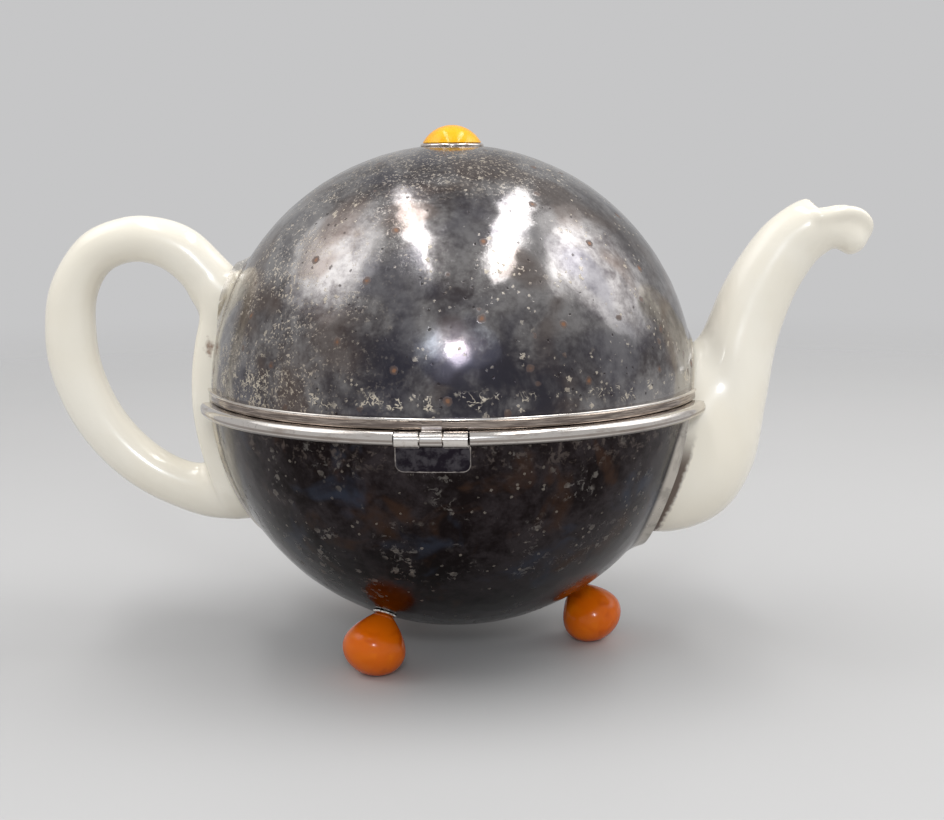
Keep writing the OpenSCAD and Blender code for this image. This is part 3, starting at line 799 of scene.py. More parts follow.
def foot_profile():
    """Pear shape along the foot's axis, from the collar to the ball's end"""
    neck, ball, r, end = 81.0, 92.0, 10.3, 8.7
    pts = [(1.5, neck), (2.7, neck), (3.1, neck + 0.15)]
    for t in np.linspace(0.04, 0.97, 18):
        pts.append((3.1 + (r - 3.1) * (1 - (1 - t) ** 1.75), neck + 0.15 + (ball - neck - 0.15) * t))
    for a in np.linspace(0, math.pi / 2, 22):
        pts.append((r * math.cos(a), ball + end * math.sin(a)))
    pts[-1] = (0, ball + end)
    return [(0.0, neck + 8.5), (1.5, neck + 8.5)] + pts


COLLAR_TEETH = 18


def feet(amber, metal):
    """Three amber feet, each on a small knurled collar"""
    for key, turn in (("spout", 0), ("back", 120), ("front", 240)):
        place = turned(turn)
        p, f = lathe(foot_profile(), 72, place)
        p[:, 2] = np.maximum(p[:, 2], -BALL_H)
        build("amber_foot_" + key, p, f, "base", ("foot_" + key,), "amber_foot", amber, angle=50)
        prof = [(1.55, 80.9), (1.55, 79.99), (3.5, 79.96), (3.75, 80.15), (3.8, 80.5), (3.6, 80.8),
                (3.1, 81.0), (1.55, 81.0)]
        p, f = lathe(prof + [prof[0]], 72)
        turn_of = np.arctan2(p[:, 1], p[:, 0])
        rad = np.hypot(p[:, 0], p[:, 1])
        wave = np.sin(turn_of * COLLAR_TEETH)
        teeth = np.where(rad > 3, 0.16 * np.sign(wave) * np.abs(wave) ** 0.5, 0)
        p[:, 0] += np.cos(turn_of) * teeth
        p[:, 1] += np.sin(turn_of) * teeth
        build("collar_" + key, p @ place.T, f, "base", ("foot_collar_" + key,), "rim_silver", metal,
              angle=40)


def knob(amber, metal):
    """Cabochon on a thin plate that is a little wider"""
    r, h, z = 9.7, 5.9, 80.4
    cap = (r * r + h * h) / (2 * h)
    prof = [(0, z + 3.5), (1.6, z + 3.5), (1.6, z + 0.02), (r - 0.25, z + 0.02), (r - 0.08, z + 0.12)]
    full = math.acos((cap - h) / cap)
    for a in np.linspace(full * 0.99, 0, 26):
        prof.append((cap * math.sin(a), z + h - cap + cap * math.cos(a)))
    prof[-1] = (0, z + h)
    p, f = lathe(prof, 96)
    build("amber_knob", p, f, "dome", ("knob",), "amber_knob", amber, angle=50)
    rim = r + 0.75
    prof = [(1.6, 79.4), (rim - 1.2, 79.2), (rim - 0.15, 79.3), (rim, 79.55), (rim - 0.08, 79.85),
            (rim - 0.35, 80.12), (rim - 0.9, 80.34), (1.6, 80.4)]
    p, f = lathe(prof + [prof[0]], 96)
    build("polished_plate", p, f, "dome", ("knob_plate",), "rim_silver", metal, angle=50)


def drill(obj, x, y, radius):
    """Drills a round hole straight down through a piece and fuses its overlapping parts"""
    pin, faces = lathe([(0, 30), (radius, 30), (radius, 90), (0, 90)], 32)
    mesh = bpy.data.meshes.new("drill")
    mesh.from_pydata(to_row(pin + [x, y, 0]).tolist(), [], faces)
    cutter = add("drill", mesh)
    hole = obj.modifiers.new("hole", "BOOLEAN")
    hole.operation, hole.solver, hole.use_self, hole.object = "DIFFERENCE", "EXACT", True, cutter
    ready = bpy.data.meshes.new_from_object(obj.evaluated_get(bpy.context.evaluated_depsgraph_get()))
    obj.modifiers.clear()
    obj.data = ready
    bpy.data.objects.remove(cutter)


STEAM_HOLE = (0.0, 18.0, 1.5)


def lid(material):
    """Lid with a skirt, a locking lug, a button and a steam hole"""
    edge_r, skirt_r, z = 39.6, 35.6, SEAT_Z
    crown_r = (edge_r**2 + 16) / 8
    prof = [(0, z), (32.2, z), (32.6, z - 0.4), (32.6, 44.6), (33.2, 44.05), (35.0, 44.05),
            (skirt_r, 44.6), (skirt_r, z - 0.3), (35.9, z), (edge_r - 0.8, z), (edge_r - 0.15, z + 0.25),
            (edge_r, z + 0.9), (edge_r, z + 2.2), (edge_r - 0.4, z + 2.85), (edge_r - 1.2, z + 3.15)]
    for x in np.linspace(37, 6.6, 14):
        prof.append((x, z + 7 - crown_r + math.sqrt(crown_r**2 - x * x)))
    top = 60.5
    prof += [(5.2, top + 0.1), (4.5, top + 0.7), (4.2, top + 1.6), (4.5, top + 2.2)]
    for a in np.linspace(math.radians(-42), math.pi / 2, 16):
        prof.append((7.0 * math.cos(a), top + 4.9 + 4.1 * math.sin(a)))
    prof[-1] = (0, top + 9)
    p, f = lathe(prof, 128)
    lug = np.array([(x, y, zz) for x in (33.5, 38.4) for y in (-4, 4) for zz in (44.2, 49.0)], float)
    lug_faces = [(0, 1, 3, 2), (4, 6, 7, 5), (0, 4, 5, 1), (2, 3, 7, 6), (0, 2, 6, 4), (1, 5, 7, 3)]
    parts = merge((p, f), (lug, lug_faces))
    obj = build("porcelain_lid", *parts, "lid", ("pot_lid",), "porcelain", material)
    drill(obj, *STEAM_HOLE)
    obj.data.set_sharp_from_angle(angle=math.radians(50))


# ---------------------------------------------------------------- materials
def joined(kind, swapped=False):
    """Method that joins a wire and another value in a Math node of that kind"""
    def method(self, other):
        pair = (other, self) if swapped else (self, other)
        return self.paint.math(kind, *pair)
    return method


class Wire:
    """What a node puts out. Arithmetic on it adds Math nodes"""
    __add__ = joined("ADD")
    __radd__ = joined("ADD", True)
    __sub__ = joined("SUBTRACT")
    __rsub__ = joined("SUBTRACT", True)
    __mul__ = joined("MULTIPLY")
    __pow__ = joined("POWER")

    def __init__(self, paint, socket):
        self.paint = paint
        self.socket = socket

    def __abs__(self):
        return self.paint.math("ABSOLUTE", self)


class Paint:
    """A node material with short names for the nodes that it uses"""

    def __init__(self, name):
        self.material = bpy.data.materials.new(name)
        self.material.use_nodes = True
        self.tree = self.material.node_tree
        self.bsdf = next(n for n in self.tree.nodes if n.type == "BSDF_PRINCIPLED")
        coords = self.tree.nodes.new("ShaderNodeTexCoord")
        self.place = Wire(self, coords.outputs["Object"])
        split = self.tree.nodes.new("ShaderNodeSeparateXYZ")
        self.put(split.inputs[0], self.place)
        self.split = split

    def put(self, socket, value):
        if isinstance(value, Wire):
            self.tree.links.new(value.socket, socket)
        elif isinstance(value, tuple) and len(value) == 3 and socket.type == "RGBA":
            socket.default_value = (*value, 1)
        else:
            socket.default_value = value

    def shader(self, **values):
        for key, value in values.items():
            self.put(self.bsdf.inputs[key.replace("_", " ")], value)

    def math(self, kind, a, b=0.0):
        n = self.tree.nodes.new("ShaderNodeMath")
        n.operation = kind
        self.put(n.inputs[0], a)
        self.put(n.inputs[1], b)
        return Wire(self, n.outputs[0])

    def most(self, a, b):
        return self.math("MAXIMUM", a, b)

    def least(self, a, b):
        return self.math("MINIMUM", a, b)

    def vector(self, kind, a, b=(0, 0, 0)):
        n = self.tree.nodes.new("ShaderNodeVectorMath")
        n.operation = kind
        self.put(n.inputs[0], a)
        self.put(n.inputs[1], b)
        single = kind in ("DISTANCE", "LENGTH", "DOT_PRODUCT")
        return Wire(self, n.outputs["Value" if single else "Vector"])

    def facing(self, blend):
        n = self.tree.nodes.new("ShaderNodeLayerWeight")
        n.inputs["Blend"].default_value = blend
        return Wire(self, n.outputs["Facing"])

    def stored(self, name):
        n = self.tree.nodes.new("ShaderNodeAttribute")
        n.attribute_name = name
        return Wire(self, n.outputs["Fac"])

    def axis(self, name):
        return Wire(self, self.split.outputs[name])

    def stretched(self, scale):
        n = self.tree.nodes.new("ShaderNodeMapping")
        self.put(n.inputs["Vector"], self.place)
        n.inputs["Scale"].default_value = scale
        return Wire(self, n.outputs[0])

    def noise(self, size_mm, detail=3.0, rough=0.55, warp=0.0, shift=None, stretch=None):
        """Fractal noise with features of about that size"""
        at = self.place
        if shift:
            at = self.vector("ADD", self.place, shift)
        if stretch:
            at = self.stretched(stretch)
        n = self.tree.nodes.new("ShaderNodeTexNoise")
        self.put(n.inputs["Vector"], at)
        n.inputs["Scale"].default_value = 1.0 / (size_mm * MM)
        n.inputs["Detail"].default_value = detail
        n.inputs["Roughness"].default_value = rough
        n.inputs["Distortion"].default_value = warp
        return Wire(self, n.outputs[0])

    def dots(self, size_mm, radius, chance, shift, ragged):
        """Scattered spots, one cell in so many: radius in parts of the cell, chance from 0 to 1"""
        n = self.tree.nodes.new("ShaderNodeTexVoronoi")
        self.put(n.inputs["Vector"], self.vector("ADD", self.place, shift))
        n.inputs["Scale"].default_value = 1.0 / (size_mm * MM)
        near = Wire(self, n.outputs["Distance"]) + (self.noise(size_mm * 0.2, 2) - 0.5) * ragged
        lot = self.vector("DOT_PRODUCT", Wire(self, n.outputs["Color"]), (1, 0, 0))
        pick = self.span(lot, 1 - chance - 0.02, 1 - chance + 0.02)
        return self.span(near, radius, radius * 0.7) * pick, near

    def span(self, value, low, high, to_low=0.0, to_high=1.0):
        """Smooth step from to_low at low to to_high at high"""
        n = self.tree.nodes.new("ShaderNodeMapRange")
        n.interpolation_type = "SMOOTHSTEP"
        self.put(n.inputs["Value"], value)
        for key, v in (("From Min", low), ("From Max", high), ("To Min", to_low), ("To Max", to_high)):
            n.inputs[key].default_value = v
        return Wire(self, n.outputs[0])

    def mix(self, factor, a, b):
        n = self.tree.nodes.new("ShaderNodeMix")
        n.data_type = "RGBA"
        self.put(n.inputs[0], factor)
        self.put(n.inputs[6], a)
        self.put(n.inputs[7], b)
        return Wire(self, n.outputs[2])

    def bump(self, height, depth_mm, strength=1.0, after=None):
        n = self.tree.nodes.new("ShaderNodeBump")
        n.inputs["Strength"].default_value = strength
        n.inputs["Distance"].default_value = depth_mm * MM
        self.put(n.inputs["Height"], height)
        if after is not None:
            self.put(n.inputs["Normal"], after)
        return Wire(self, n.outputs[0])


def dome_material():
    """Worn silver plate: clouds of blue, purple and brown tarnish, pale flecks, freckles, scratches"""
    p = Paint("plate_dome")
    clouds = p.noise(40, 3, 0.55, 0.4, shift=(0.31, 0.12, 0.05))
    patches = p.noise(12, 4, 0.62, 0.5)
    grain = p.noise(2.4, 5, 0.68)
    fine = p.noise(0.7, 3, 0.6)
    height = p.axis("Z") - (BALL_H + PARTING) * MM
    side = p.axis("X")
    tone = clouds * 0.42 + (patches * 0.33 + grain * 0.25)
    colour = p.mix(p.span(tone, 0.39, 0.60), (0.095, 0.083, 0.085), (0.36, 0.345, 0.34))
    hue = p.noise(24, 2, 0.5, 0.3, shift=(0.8, 0.4, 0.2))
    colour = p.mix(p.span(hue, 0.54, 0.68, 0, 0.45), colour, (0.095, 0.095, 0.125))
    colour = p.mix(p.span(hue, 0.49, 0.36, 0, 0.55), colour, (0.155, 0.115, 0.095))
    # the front, low down, is the darkest
    deep = p.span(height, 0.044, 0.014) * p.span(abs(side - 0.008), 0.052, 0.018)
    deep = deep * p.span(patches, 0.62, 0.4, 0.35, 0.85)
    colour = p.mix(deep, colour, (0.042, 0.041, 0.055))
    # tan flecks: thick to the left, to the top and just over the rim
    left = p.span(side, 0.000, -0.050)
    top = p.span(height, 0.060, 0.076, 0, 0.7)
    where = p.most(left * p.span(p.noise(16, 3, 0.6, shift=(0.7, 0.1, 0.4)), 0.42, 0.58), top)
    where = p.most(where, p.span(p.noise(14, 3, 0.6, shift=(0.2, 0.9, 0.1)), 0.48, 0.62, 0, 0.85))
    fleck, _ = p.dots(1.5, 0.30, 0.22, (0.1, 0.3, 0.2), 0.8)
    large, _ = p.dots(3.4, 0.26, 0.16, (0.6, 0.1, 0.7), 0.8)
    thick = p.most(left * p.span(p.noise(11, 3, 0.6, shift=(0.3, 0.3, 0.4)), 0.4, 0.6), top)
    fleck = p.most(fleck, large) * where
    colour = p.mix(fleck * 0.8, colour, (0.55, 0.48, 0.38))
    crumbs = p.noise(0.95, 3, 0.6, 0.2, shift=(0.5, 0.1, 0.8))
    haze = p.span(crumbs, 0.56, 0.63) * thick
    colour = p.mix(haze * 0.75, colour, (0.54, 0.46, 0.36))
    # brown freckles with a rusty middle, and dark pits
    freckle, near = p.dots(8.0, 0.20, 0.42, (0.05, 0.2, 0.33), 0.16)
    colour = p.mix(freckle * 0.75, colour, (0.085, 0.05, 0.036))
    colour = p.mix(p.span(near, 0.11, 0.05) * (freckle * 0.8), colour, (0.23, 0.105, 0.05))
    pit, _ = p.dots(3.1, 0.17, 0.4, (0.4, 0.8, 0.3), 0.3)
    colour = p.mix(pit * 0.7, colour, (0.04, 0.032, 0.032))
    # short pale corrosion marks in a belt just over the rim
    lines = abs(p.noise(1.9, 2, 0.5, 0.7, shift=(0.9, 0.2, 0.1)) - 0.5)
    belt = p.span(height, 0.0045, 0.006) * p.span(height, 0.0115, 0.0085)
    low_left = p.span(height, 0.024, 0.014) * p.span(side, -0.04, -0.056)
    spread = p.span(p.noise(6.5, 3, 0.6, shift=(0.2, 0.6, 0.9)), 0.51, 0.6)
    crawl = p.span(lines, 0.045, 0.02) * (spread * p.most(belt, low_left))
    colour = p.mix(crawl * 0.85, colour, (0.6, 0.53, 0.42))
    # bare metal on the turned-out lips, worn smooth
    lip = p.span(p.stored("bare"), 0.05, 0.55) * p.span(patches, 0.62, 0.45, 0.75, 1.0)
    colour = p.mix(lip * 0.92, colour, (0.8, 0.76, 0.69))
    rough = p.span(tone, 0.38, 0.62, 0.14, 0.09) + grain * 0.06
    marks = p.most(p.most(freckle, haze), p.most(crawl, fleck))
    rough = rough + marks * 0.32
    scratch = p.noise(1.0, 2, 0.6, stretch=(1.0, 1.0, 0.05))
    rough = rough + p.span(scratch, 0.62, 0.75, 0, 0.12)
    normal = p.bump(grain * 0.7 + fine * 0.3, 0.03, 0.5)
    normal = p.bump(marks, 0.05, 0.6, normal)
    normal = p.bump(pit, -0.06, 0.6, normal)
    p.shader(Base_Color=colour, Roughness=rough, Metallic=1.0 - marks * 0.6, Normal=normal)
    return p.material


def bowl_material():
    """Nearly black tarnish with brown and blue clouds, and clusters of pale grey blotches"""
    p = Paint("plate_bowl")
    clouds = p.noise(34, 3, 0.55, 0.4, shift=(0.5, 0.2, 0.7))
    patches = p.noise(9, 4, 0.65, 0.6, shift=(0.1, 0.7, 0.2))
    grain = p.noise(1.9, 5, 0.7)
    height = p.axis("Z") - (BALL_H + PARTING) * MM
    tone = clouds * 0.4 + (patches * 0.35 + grain * 0.25)
    colour = p.mix(p.span(tone, 0.40, 0.60), (0.011, 0.008, 0.008), (0.040, 0.033, 0.035))
    colour = p.mix(p.span(p.noise(17, 3, 0.6, 0.5), 0.54, 0.7, 0, 0.7), colour, (0.052, 0.028, 0.018))
    blue = p.span(p.noise(21, 3, 0.6, 0.5, shift=(0.4, 0.4, 0.1)), 0.56, 0.72, 0, 0.6)
    colour = p.mix(blue, colour, (0.04, 0.05, 0.075))
    cluster = p.span(p.noise(19, 3, 0.6, 0.3, shift=(0.33, 0.1, 0.6)), 0.5, 0.62)
    blotch = p.span(p.noise(2.6, 4, 0.7, 0.5, shift=(0.2, 0.2, 0.9)), 0.55, 0.66) * cluster
    spot, near = p.dots(4.2, 0.30, 0.5, (0.7, 0.3, 0.2), 0.4)
    spot = spot * cluster
    colour = p.mix(blotch * 0.55, colour, (0.15, 0.135, 0.12))
    colour = p.mix(spot * 0.6, colour, (0.17, 0.15, 0.13))
    colour = p.mix(p.span(near, 0.16, 0.09) * (spot * 0.6), colour, (0.05, 0.036, 0.03))
    fleck, _ = p.dots(1.9, 0.30, 0.2, (0.2, 0.5, 0.8), 0.4)
    fleck = fleck * p.span(p.noise(13, 2, 0.5, shift=(0.6, 0.6, 0.6)), 0.48, 0.6)
    colour = p.mix(fleck * 0.6, colour, (0.22, 0.19, 0.155))
    under = p.span(height, -0.0155, -0.0085) * p.span(p.noise(3.0, 4, 0.7, 0.4), 0.52, 0.62)
    colour = p.mix(under * 0.4, colour, (0.16, 0.13, 0.115))
    lip = p.span(p.stored("bare"), 0.12, 0.55) * p.span(patches, 0.66, 0.5, 0.7, 1.0)
    colour = p.mix(lip * 0.9, colour, (0.6, 0.56, 0.5))
    marks = p.most(blotch, p.most(spot, fleck))
    rough = p.span(tone, 0.4, 0.62, 0.13, 0.24) + marks * 0.35
    normal = p.bump(grain, 0.03, 0.5)
    normal = p.bump(marks, 0.05, 0.6, normal)
    p.shader(Base_Color=colour, Roughness=rough, Metallic=1.0 - marks * 0.6, Normal=normal)
    return p.material


def leaf_material():
    """Hinge leaf: bright knuckles over a leaf as dark as the bowl, its edge bright from wear and painted
    with a highlight
    """
    p = Paint("hinge_leaf")
    grain = p.noise(1.6, 4, 0.65)
    height = p.axis("Z") - BALL_H * MM
    bright = p.mix(p.span(grain, 0.52, 0.72, 0, 0.5), (0.68, 0.64, 0.60), (0.36, 0.30, 0.25))
    dark = p.mix(p.span(p.noise(4, 4, 0.65), 0.42, 0.62), (0.016, 0.013, 0.018), (0.06, 0.055, 0.062))
    # distance inside the leaf's rounded outline
    over = abs(p.axis("X")) - 0.0085
    down = -0.0116 - height
    corner = (p.most(over, 0.0) ** 2.0 + p.most(down, 0.0) ** 2.0) ** 0.5
    edge = 0.0025 - (corner + p.least(p.most(over, down), 0.0))
    # the bright line round the leaf is wear and a painted highlight, standing in for the light its edge
    # would catch
    bright_edge = p.span(edge + grain * 0.0005, 0.00062, 0.00038)
    bright_edge = bright_edge * p.span(p.noise(3.5, 3, 0.6), 0.35, 0.6, 0.3, 0.85)
    colour = p.mix(bright_edge, dark, (0.42, 0.38, 0.35))
    knuckle = p.span(height, -0.0066, -0.0060)
    colour = p.mix(knuckle, colour, bright)
    p.shader(Base_Color=colour, Roughness=p.span(grain, 0.3, 0.7, 0.12, 0.24), Metallic=1.0,
             Normal=p.bump(grain, 0.015, 0.4))
    return p.material


def rim_material():
    """Bright wire with a darker, streaky band over it, and painted shade on its underside"""
    p = Paint("rim_silver")
    height = p.axis("Z") - BALL_H * MM
    stain = p.noise(7, 4, 0.65, 0.4, stretch=(0.5, 0.5, 2.2))
    grain = p.noise(1.3, 4, 0.65)
    streak = p.noise(0.42, 3, 0.6, stretch=(0.05, 0.05, 1.0))
    bright = p.mix(p.span(stain, 0.50, 0.70, 0, 0.7), (0.70, 0.66, 0.62), (0.40, 0.33, 0.28))
    furrow = p.span(height, -0.0048, -0.0044) * p.span(height, -0.0036, -0.004)
    bright = p.mix(furrow * 0.7, bright, (0.17, 0.135, 0.115))
    bright = p.mix(p.span(grain, 0.6, 0.72) * 0.35, bright, (0.2, 0.15, 0.12))
    tarnish = p.mix(p.span(streak, 0.40, 0.62), (0.13, 0.095, 0.08), (0.40, 0.33, 0.28))
    on_band = p.span(height, -0.0016, -0.0014) * p.span(height, 0.00125, 0.00095)
    # painted shade: below about 5 mm under the ball's middle, the wire's underside is darkened
    under = p.span(height, -0.0046, -0.0054)
    colour = p.mix(on_band * 0.9, bright, tarnish)
    colour = p.mix(under * 0.85, colour, (0.1, 0.08, 0.075))
    rough = p.span(stain, 0.4, 0.7, 0.09, 0.2) + p.span(streak, 0.5, 0.75, 0, 0.14)
    p.shader(Base_Color=colour, Roughness=rough, Metallic=1.0, Normal=p.bump(grain + streak, 0.018, 0.5))
    return p.material


def plain_metal(name, grain_noise, tint_span, light, dark, rough_span, bump):
    """Metal of one colour with a darker grain"""
    p = Paint(name)
    grain = p.noise(*grain_noise)
    colour = p.mix(p.span(grain, *tint_span), light, dark)
    p.shader(Base_Color=colour, Roughness=p.span(grain, *rough_span), Metallic=1.0,
             Normal=p.bump(grain, *bump))
    return p.material


def bright_material():
    """Collars and hinge pin"""
    return plain_metal("bright_metal", (1.1, 4, 0.65), (0.45, 0.68), (0.72, 0.69, 0.65),
                       (0.30, 0.25, 0.21), (0.3, 0.7, 0.12, 0.26), (0.015, 0.5))


def polished_material():
    """The plate under the knob"""
    return plain_metal("polished_plate", (1.6, 4, 0.6), (0.45, 0.68), (0.72, 0.66, 0.62),
                       (0.36, 0.26, 0.2), (0.4, 0.7, 0.1, 0.26), (0.01, 0.4))


def brass_material():
    """Screws, washers, stud and nut"""
    return plain_metal("brass_hardware", (1.2, 4, 0.6), (0.42, 0.66), (0.60, 0.44, 0.20),
                       (0.30, 0.19, 0.08), (0.3, 0.7, 0.22, 0.42), (0.02, 0.5))


def porcelain_material():
    """Ivory glaze with a faint tone in it, a brown stain where it meets the metal by the handle, and
    painted shade in the openings: brown under the spout's root, darker on what lies inside the shell
    """
    p = Paint("porcelain_glaze")
    tone = p.noise(34, 3, 0.5)
    fine = p.noise(2.2, 4, 0.6)
    colour = p.mix(p.span(tone, 0.35, 0.68), (0.84, 0.785, 0.665), (0.875, 0.83, 0.725))
    colour = p.mix(p.span(fine, 0.63, 0.74, 0, 0.08), colour, (0.62, 0.56, 0.45))
    off = p.vector("DISTANCE", p.place, tuple(CENTRE)) + (fine - 0.5) * 0.0022
    # painted shade: low on the spout's side, the porcelain just inside the opening is darkened brown,
    # standing in for the shadow in the gap
    under_spout = p.span(off, 0.084, 0.0824) * p.span(p.axis("Z"), BALL_H * MM - 0.01, BALL_H * MM - 0.024)
    painted_gap_shade = under_spout * p.span(p.axis("X"), 0.0, 0.01) * 0.92
    # the stain is a ball, drawn out upward by squeezing the height
    squeeze = 0.45
    stain_centre = (-0.0812, -0.0108, (BALL_H + 15.5) * squeeze * MM)
    stain_at = p.vector("DISTANCE", p.stretched((1.0, 1.0, squeeze)), stain_centre)
    stain = p.span(stain_at + (fine - 0.5) * 0.003, 0.0027, 0.0014) * 0.9
    colour = p.mix(painted_gap_shade, colour, (0.060, 0.026, 0.012))
    colour = p.mix(stain, colour, (0.17, 0.065, 0.022))
    # painted shade: porcelain inside the shell's radius, seen deep in the openings, is darkened
    painted_inner_shade = p.span(off, 0.079, 0.0755) * 0.35
    colour = p.mix(painted_inner_shade, colour, (0.60, 0.53, 0.42))
    rough = p.span(fine, 0.3, 0.7, 0.13, 0.2) + p.most(painted_gap_shade, stain) * 0.4
    p.shader(Base_Color=colour, Roughness=rough, Normal=p.bump(tone, 0.12, 0.25), IOR=1.48,
             Coat_Weight=0.25, Coat_Roughness=0.08)
    return p.material


def amber_material(name, base, deep, light, size=13.0):
    """Old catalin: even colour with faint swirls, and painted shade that deepens it towards its outline"""
    p = Paint(name)
    swirl = p.noise(size, 2, 0.5, 1.2)
    fine = p.noise(2.6, 3, 0.6, 0.5)
    colour = p.mix(p.span(swirl, 0.50, 0.72, 0, 0.5), base, light)
    colour = p.mix(p.span(swirl, 0.44, 0.30, 0, 0.35), colour, deep)
    colour = p.mix(p.span(fine, 0.58, 0.75, 0, 0.06), colour, deep)
    # painted shade: the colour deepens where the surface turns away from the camera, towards the outline
    colour = p.mix(p.span(p.facing(0.35), 0.35, 0.95, 0, 0.75), colour, deep)
    p.shader(Base_Color=colour, Roughness=p.span(fine, 0.3, 0.7, 0.1, 0.18), IOR=1.45,
             Specular_IOR_Level=0.3, Subsurface_Weight=0.15, Subsurface_Radius=(0.004, 0.0014, 0.0005),
             Subsurface_Scale=1.0, Normal=p.bump(fine, 0.01, 0.3))
    return p.material


def felt_material():
    """Tufted wool felt"""
    p = Paint("wool_felt")
    fibre = p.noise(0.55, 5, 0.7, 1.2)
    tuft = p.noise(3.2, 4, 0.65, 0.8)
    colour = p.mix(p.span(fibre, 0.35, 0.68), (0.20, 0.16, 0.125), (0.42, 0.36, 0.29))
    colour = p.mix(p.span(tuft, 0.5, 0.72, 0, 0.4), colour, (0.28, 0.22, 0.17))
    height = fibre * 0.6 + tuft
    p.shader(Base_Color=colour, Roughness=0.95, Sheen_Weight=0.35, Sheen_Roughness=0.5,
             Normal=p.bump(height, 0.5, 0.8))
    return p.material


def repaint(node, material):
    """Gives a CAD node that stays in sight a new material"""
    mesh = nodes[node].data
    if not mesh.materials:
        mesh.materials.append(material)
    for k in range(len(mesh.materials)):
        mesh.materials[k] = material


# ---------------------------------------------------------------- the object
plate_top = dome_material()
plate_low = bowl_material()
rim = rim_material()
bright = bright_material()
leaf = leaf_material()
polished = polished_material()
glaze = porcelain_material()
foot_amber = amber_material("amber_foot", (0.68, 0.130, 0.002), (0.42, 0.045, 0.001), (0.80, 0.20, 0.004))
knob_amber = amber_material("amber_knob", (0.92, 0.46, 0.012), (0.74, 0.25, 0.006), (0.97, 0.68, 0.10), 8.0)
felt = felt_material()
brass = brass_material()

shell("hammered_dome", True, ("upper_shell",), plate_top)
shell("hammered_bowl", False, ("lower_shell",), plate_low)
lining("felt_dome", True, ("upper_lining",), felt)
lining("felt_bowl", False, ("lower_lining",), felt)
porcelain(glaze)
lid(glaze)
lower_rims(rim)
upper_rims(rim)
upper_hinge(rim)
feet(foot_amber, bright)
knob(knob_amber, polished)
repaint("hinge_lower_leaf", leaf)
repaint("hinge_pin", bright)
for key in ("spout", "front", "back"):
    repaint("foot_screw_" + key, brass)
    repaint("foot_washer_" + key, brass)
repaint("knob_stud", brass)
repaint("knob_nut", brass)


# ---------------------------------------------------------------- floor, light, camera
FLOOR_R, FLOOR_SIDES = 6.0, 64
FADE_FROM, FADE_TO = 0.36, 1.25


def floor():
    """Pale ground that fades into the pale surround"""
    mesh = bpy.data.meshes.new("floor")
    n = FLOOR_SIDES
    turns = [2 * math.pi * k / n for k in range(n)]
    ring = [(FLOOR_R * math.cos(t), FLOOR_R * math.sin(t), 0) for t in turns]
    mesh.from_pydata(ring, [], [list(range(n))])
    obj = add("floor", mesh)
    p = Paint("pale_floor")
    tone = p.noise(240, 3, 0.5)
    p.shader(Base_Color=p.mix(tone, (0.47, 0.465, 0.46), (0.50, 0.495, 0.49)), Roughness=0.6)
    clear = p.tree.nodes.new("ShaderNodeBsdfTransparent")
    mixer = p.tree.nodes.new("ShaderNodeMixShader")
    off = p.vector("LENGTH", p.place)
    p.put(mixer.inputs[0], p.span(off, FADE_FROM, FADE_TO))
    p.tree.links.new(p.bsdf.outputs[0], mixer.inputs[1])
    p.tree.links.new(clear.outputs[0], mixer.inputs[2])
    out = next(n for n in p.tree.nodes if n.type == "OUTPUT_MATERIAL")
    p.tree.links.new(mixer.outputs[0], out.inputs["Surface"])
    mesh.materials.append(p.material)


floor()
world = bpy.data.worlds.new("studio")
bpy.context.scene.world = world
world.use_nodes = True
surround = world.node_tree.nodes["Background"]
surround.inputs["Color"].default_value = (0.99, 0.99, 1.0, 1)
surround.inputs["Strength"].default_value = 0.57

# The camera that took the photo: picture in pixels, place in mm from the ball's centre
PICTURE = (944, 820)
FOCAL_PX = 1535.76
SENSOR = 36.0
LAMP_REACH = 1300.0
EYE = np.array((40.84, -510.87, 72.51))
RIGHT = np.array((0.99773, 0.06696, -0.00766))
UP = np.array((-0.00291, 0.15632, 0.9877))
FORWARD = np.array((-0.06733, 0.98543, -0.15616))


def lamp_place(pixel):
    """Where a lamp stands, LAMP_REACH from the ball, to be mirrored at that pixel of the picture"""
    across, above = pixel[0] - PICTURE[0] / 2, PICTURE[1] / 2 - pixel[1]
    d = FORWARD + RIGHT * across / FOCAL_PX + UP * above / FOCAL_PX
    d /= np.linalg.norm(d)
    b = EYE @ d
    hit = EYE - d * (b + math.sqrt(b * b - EYE @ EYE + SHELL_R**2))
    n = hit / SHELL_R
    return hit + (d - 2 * (d @ n) * n) * LAMP_REACH


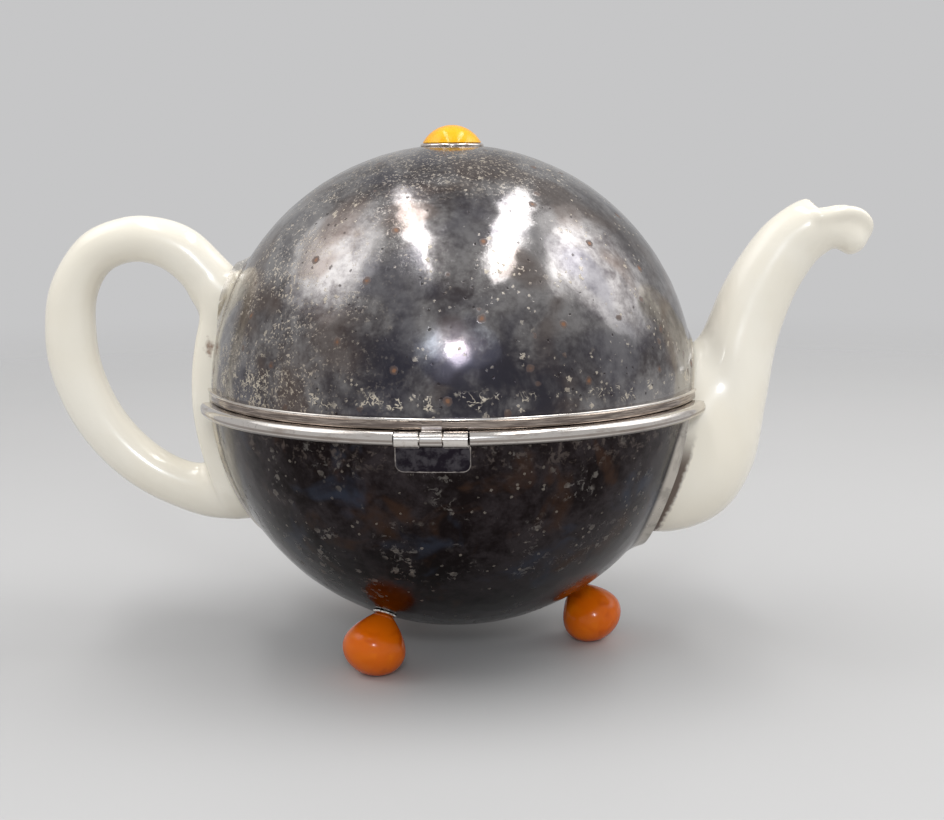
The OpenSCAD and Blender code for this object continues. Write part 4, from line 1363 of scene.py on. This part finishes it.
def softbox(name, left, right, top, bottom, radiance, tint):
    """Lamp whose reflection in the ball spans those four pixels of the picture"""
    l, r, t, b = (lamp_place(pixel) for pixel in (left, right, top, bottom))
    middle = (l + r + t + b) / 4
    toward = -middle / np.linalg.norm(middle)
    tall = (t - b) - toward * ((t - b) @ toward)
    high = np.linalg.norm(tall) * MM
    tall /= np.linalg.norm(tall)
    across = np.cross(tall, -toward)
    wide = np.linalg.norm(r - l) * MM
    data = bpy.data.lights.new(name, "AREA")
    data.shape, data.size, data.size_y, data.color = "ELLIPSE", wide, high, tint
    data.energy = radiance * math.pi * wide * high
    obj = add(name, data)
    stand(obj, across, tall, -toward, middle)
    obj.visible_camera = False


def glow(name, left, right, top, bottom, layers):
    """A lamp that fades to its edge, built of ever smaller ones: size, radiance and tint of each"""
    corners = np.array([left, right, top, bottom], float)
    middle = corners.mean(0)
    for k, (size, radiance, tint) in enumerate(layers):
        softbox("%s_%d" % (name, k), *(middle + (corners - middle) * size), radiance, tint)


WHITE, BLUISH = (1.0, 1.0, 1.0), (0.72, 0.84, 1.0)
glow("left_soft", (296, 268), (382, 250), (342, 206), (338, 318),
     [(1.0, 0.5, WHITE), (0.76, 0.55, WHITE), (0.5, 0.6, WHITE)])
glow("right_soft", (542, 258), (642, 292), (588, 214), (606, 324),
     [(1.0, 0.5, WHITE), (0.76, 0.5, WHITE), (0.5, 0.4, WHITE)])
glow("right_edge", (546, 258), (580, 258), (582, 218), (556, 292), [(1.0, 0.8, WHITE), (0.6, 1.2, WHITE)])
glow("left_tube", (404, 228), (426, 224), (400, 184), (431, 280), [(1.0, 3.4, WHITE), (0.78, 3.4, WHITE)])
glow("right_tube", (497, 228), (522, 236), (524, 185), (494, 284), [(1.0, 3.4, WHITE), (0.78, 3.4, WHITE)])
glow("spot", (438, 349), (472, 349), (455, 337), (455, 361),
     [(2.4, 0.45, BLUISH), (1.5, 1.6, BLUISH), (0.66, 24.0, WHITE)])

camera = bpy.data.cameras.new("camera")
camera_obj = add("camera", camera)
stand(camera_obj, RIGHT, UP, -FORWARD, EYE)
bpy.context.scene.camera = camera_obj
camera.sensor_width, camera.lens = SENSOR, SENSOR * FOCAL_PX / PICTURE[0]
camera.clip_start, camera.clip_end = 0.01, 50

bpy.context.scene.view_settings.view_transform = "Standard"
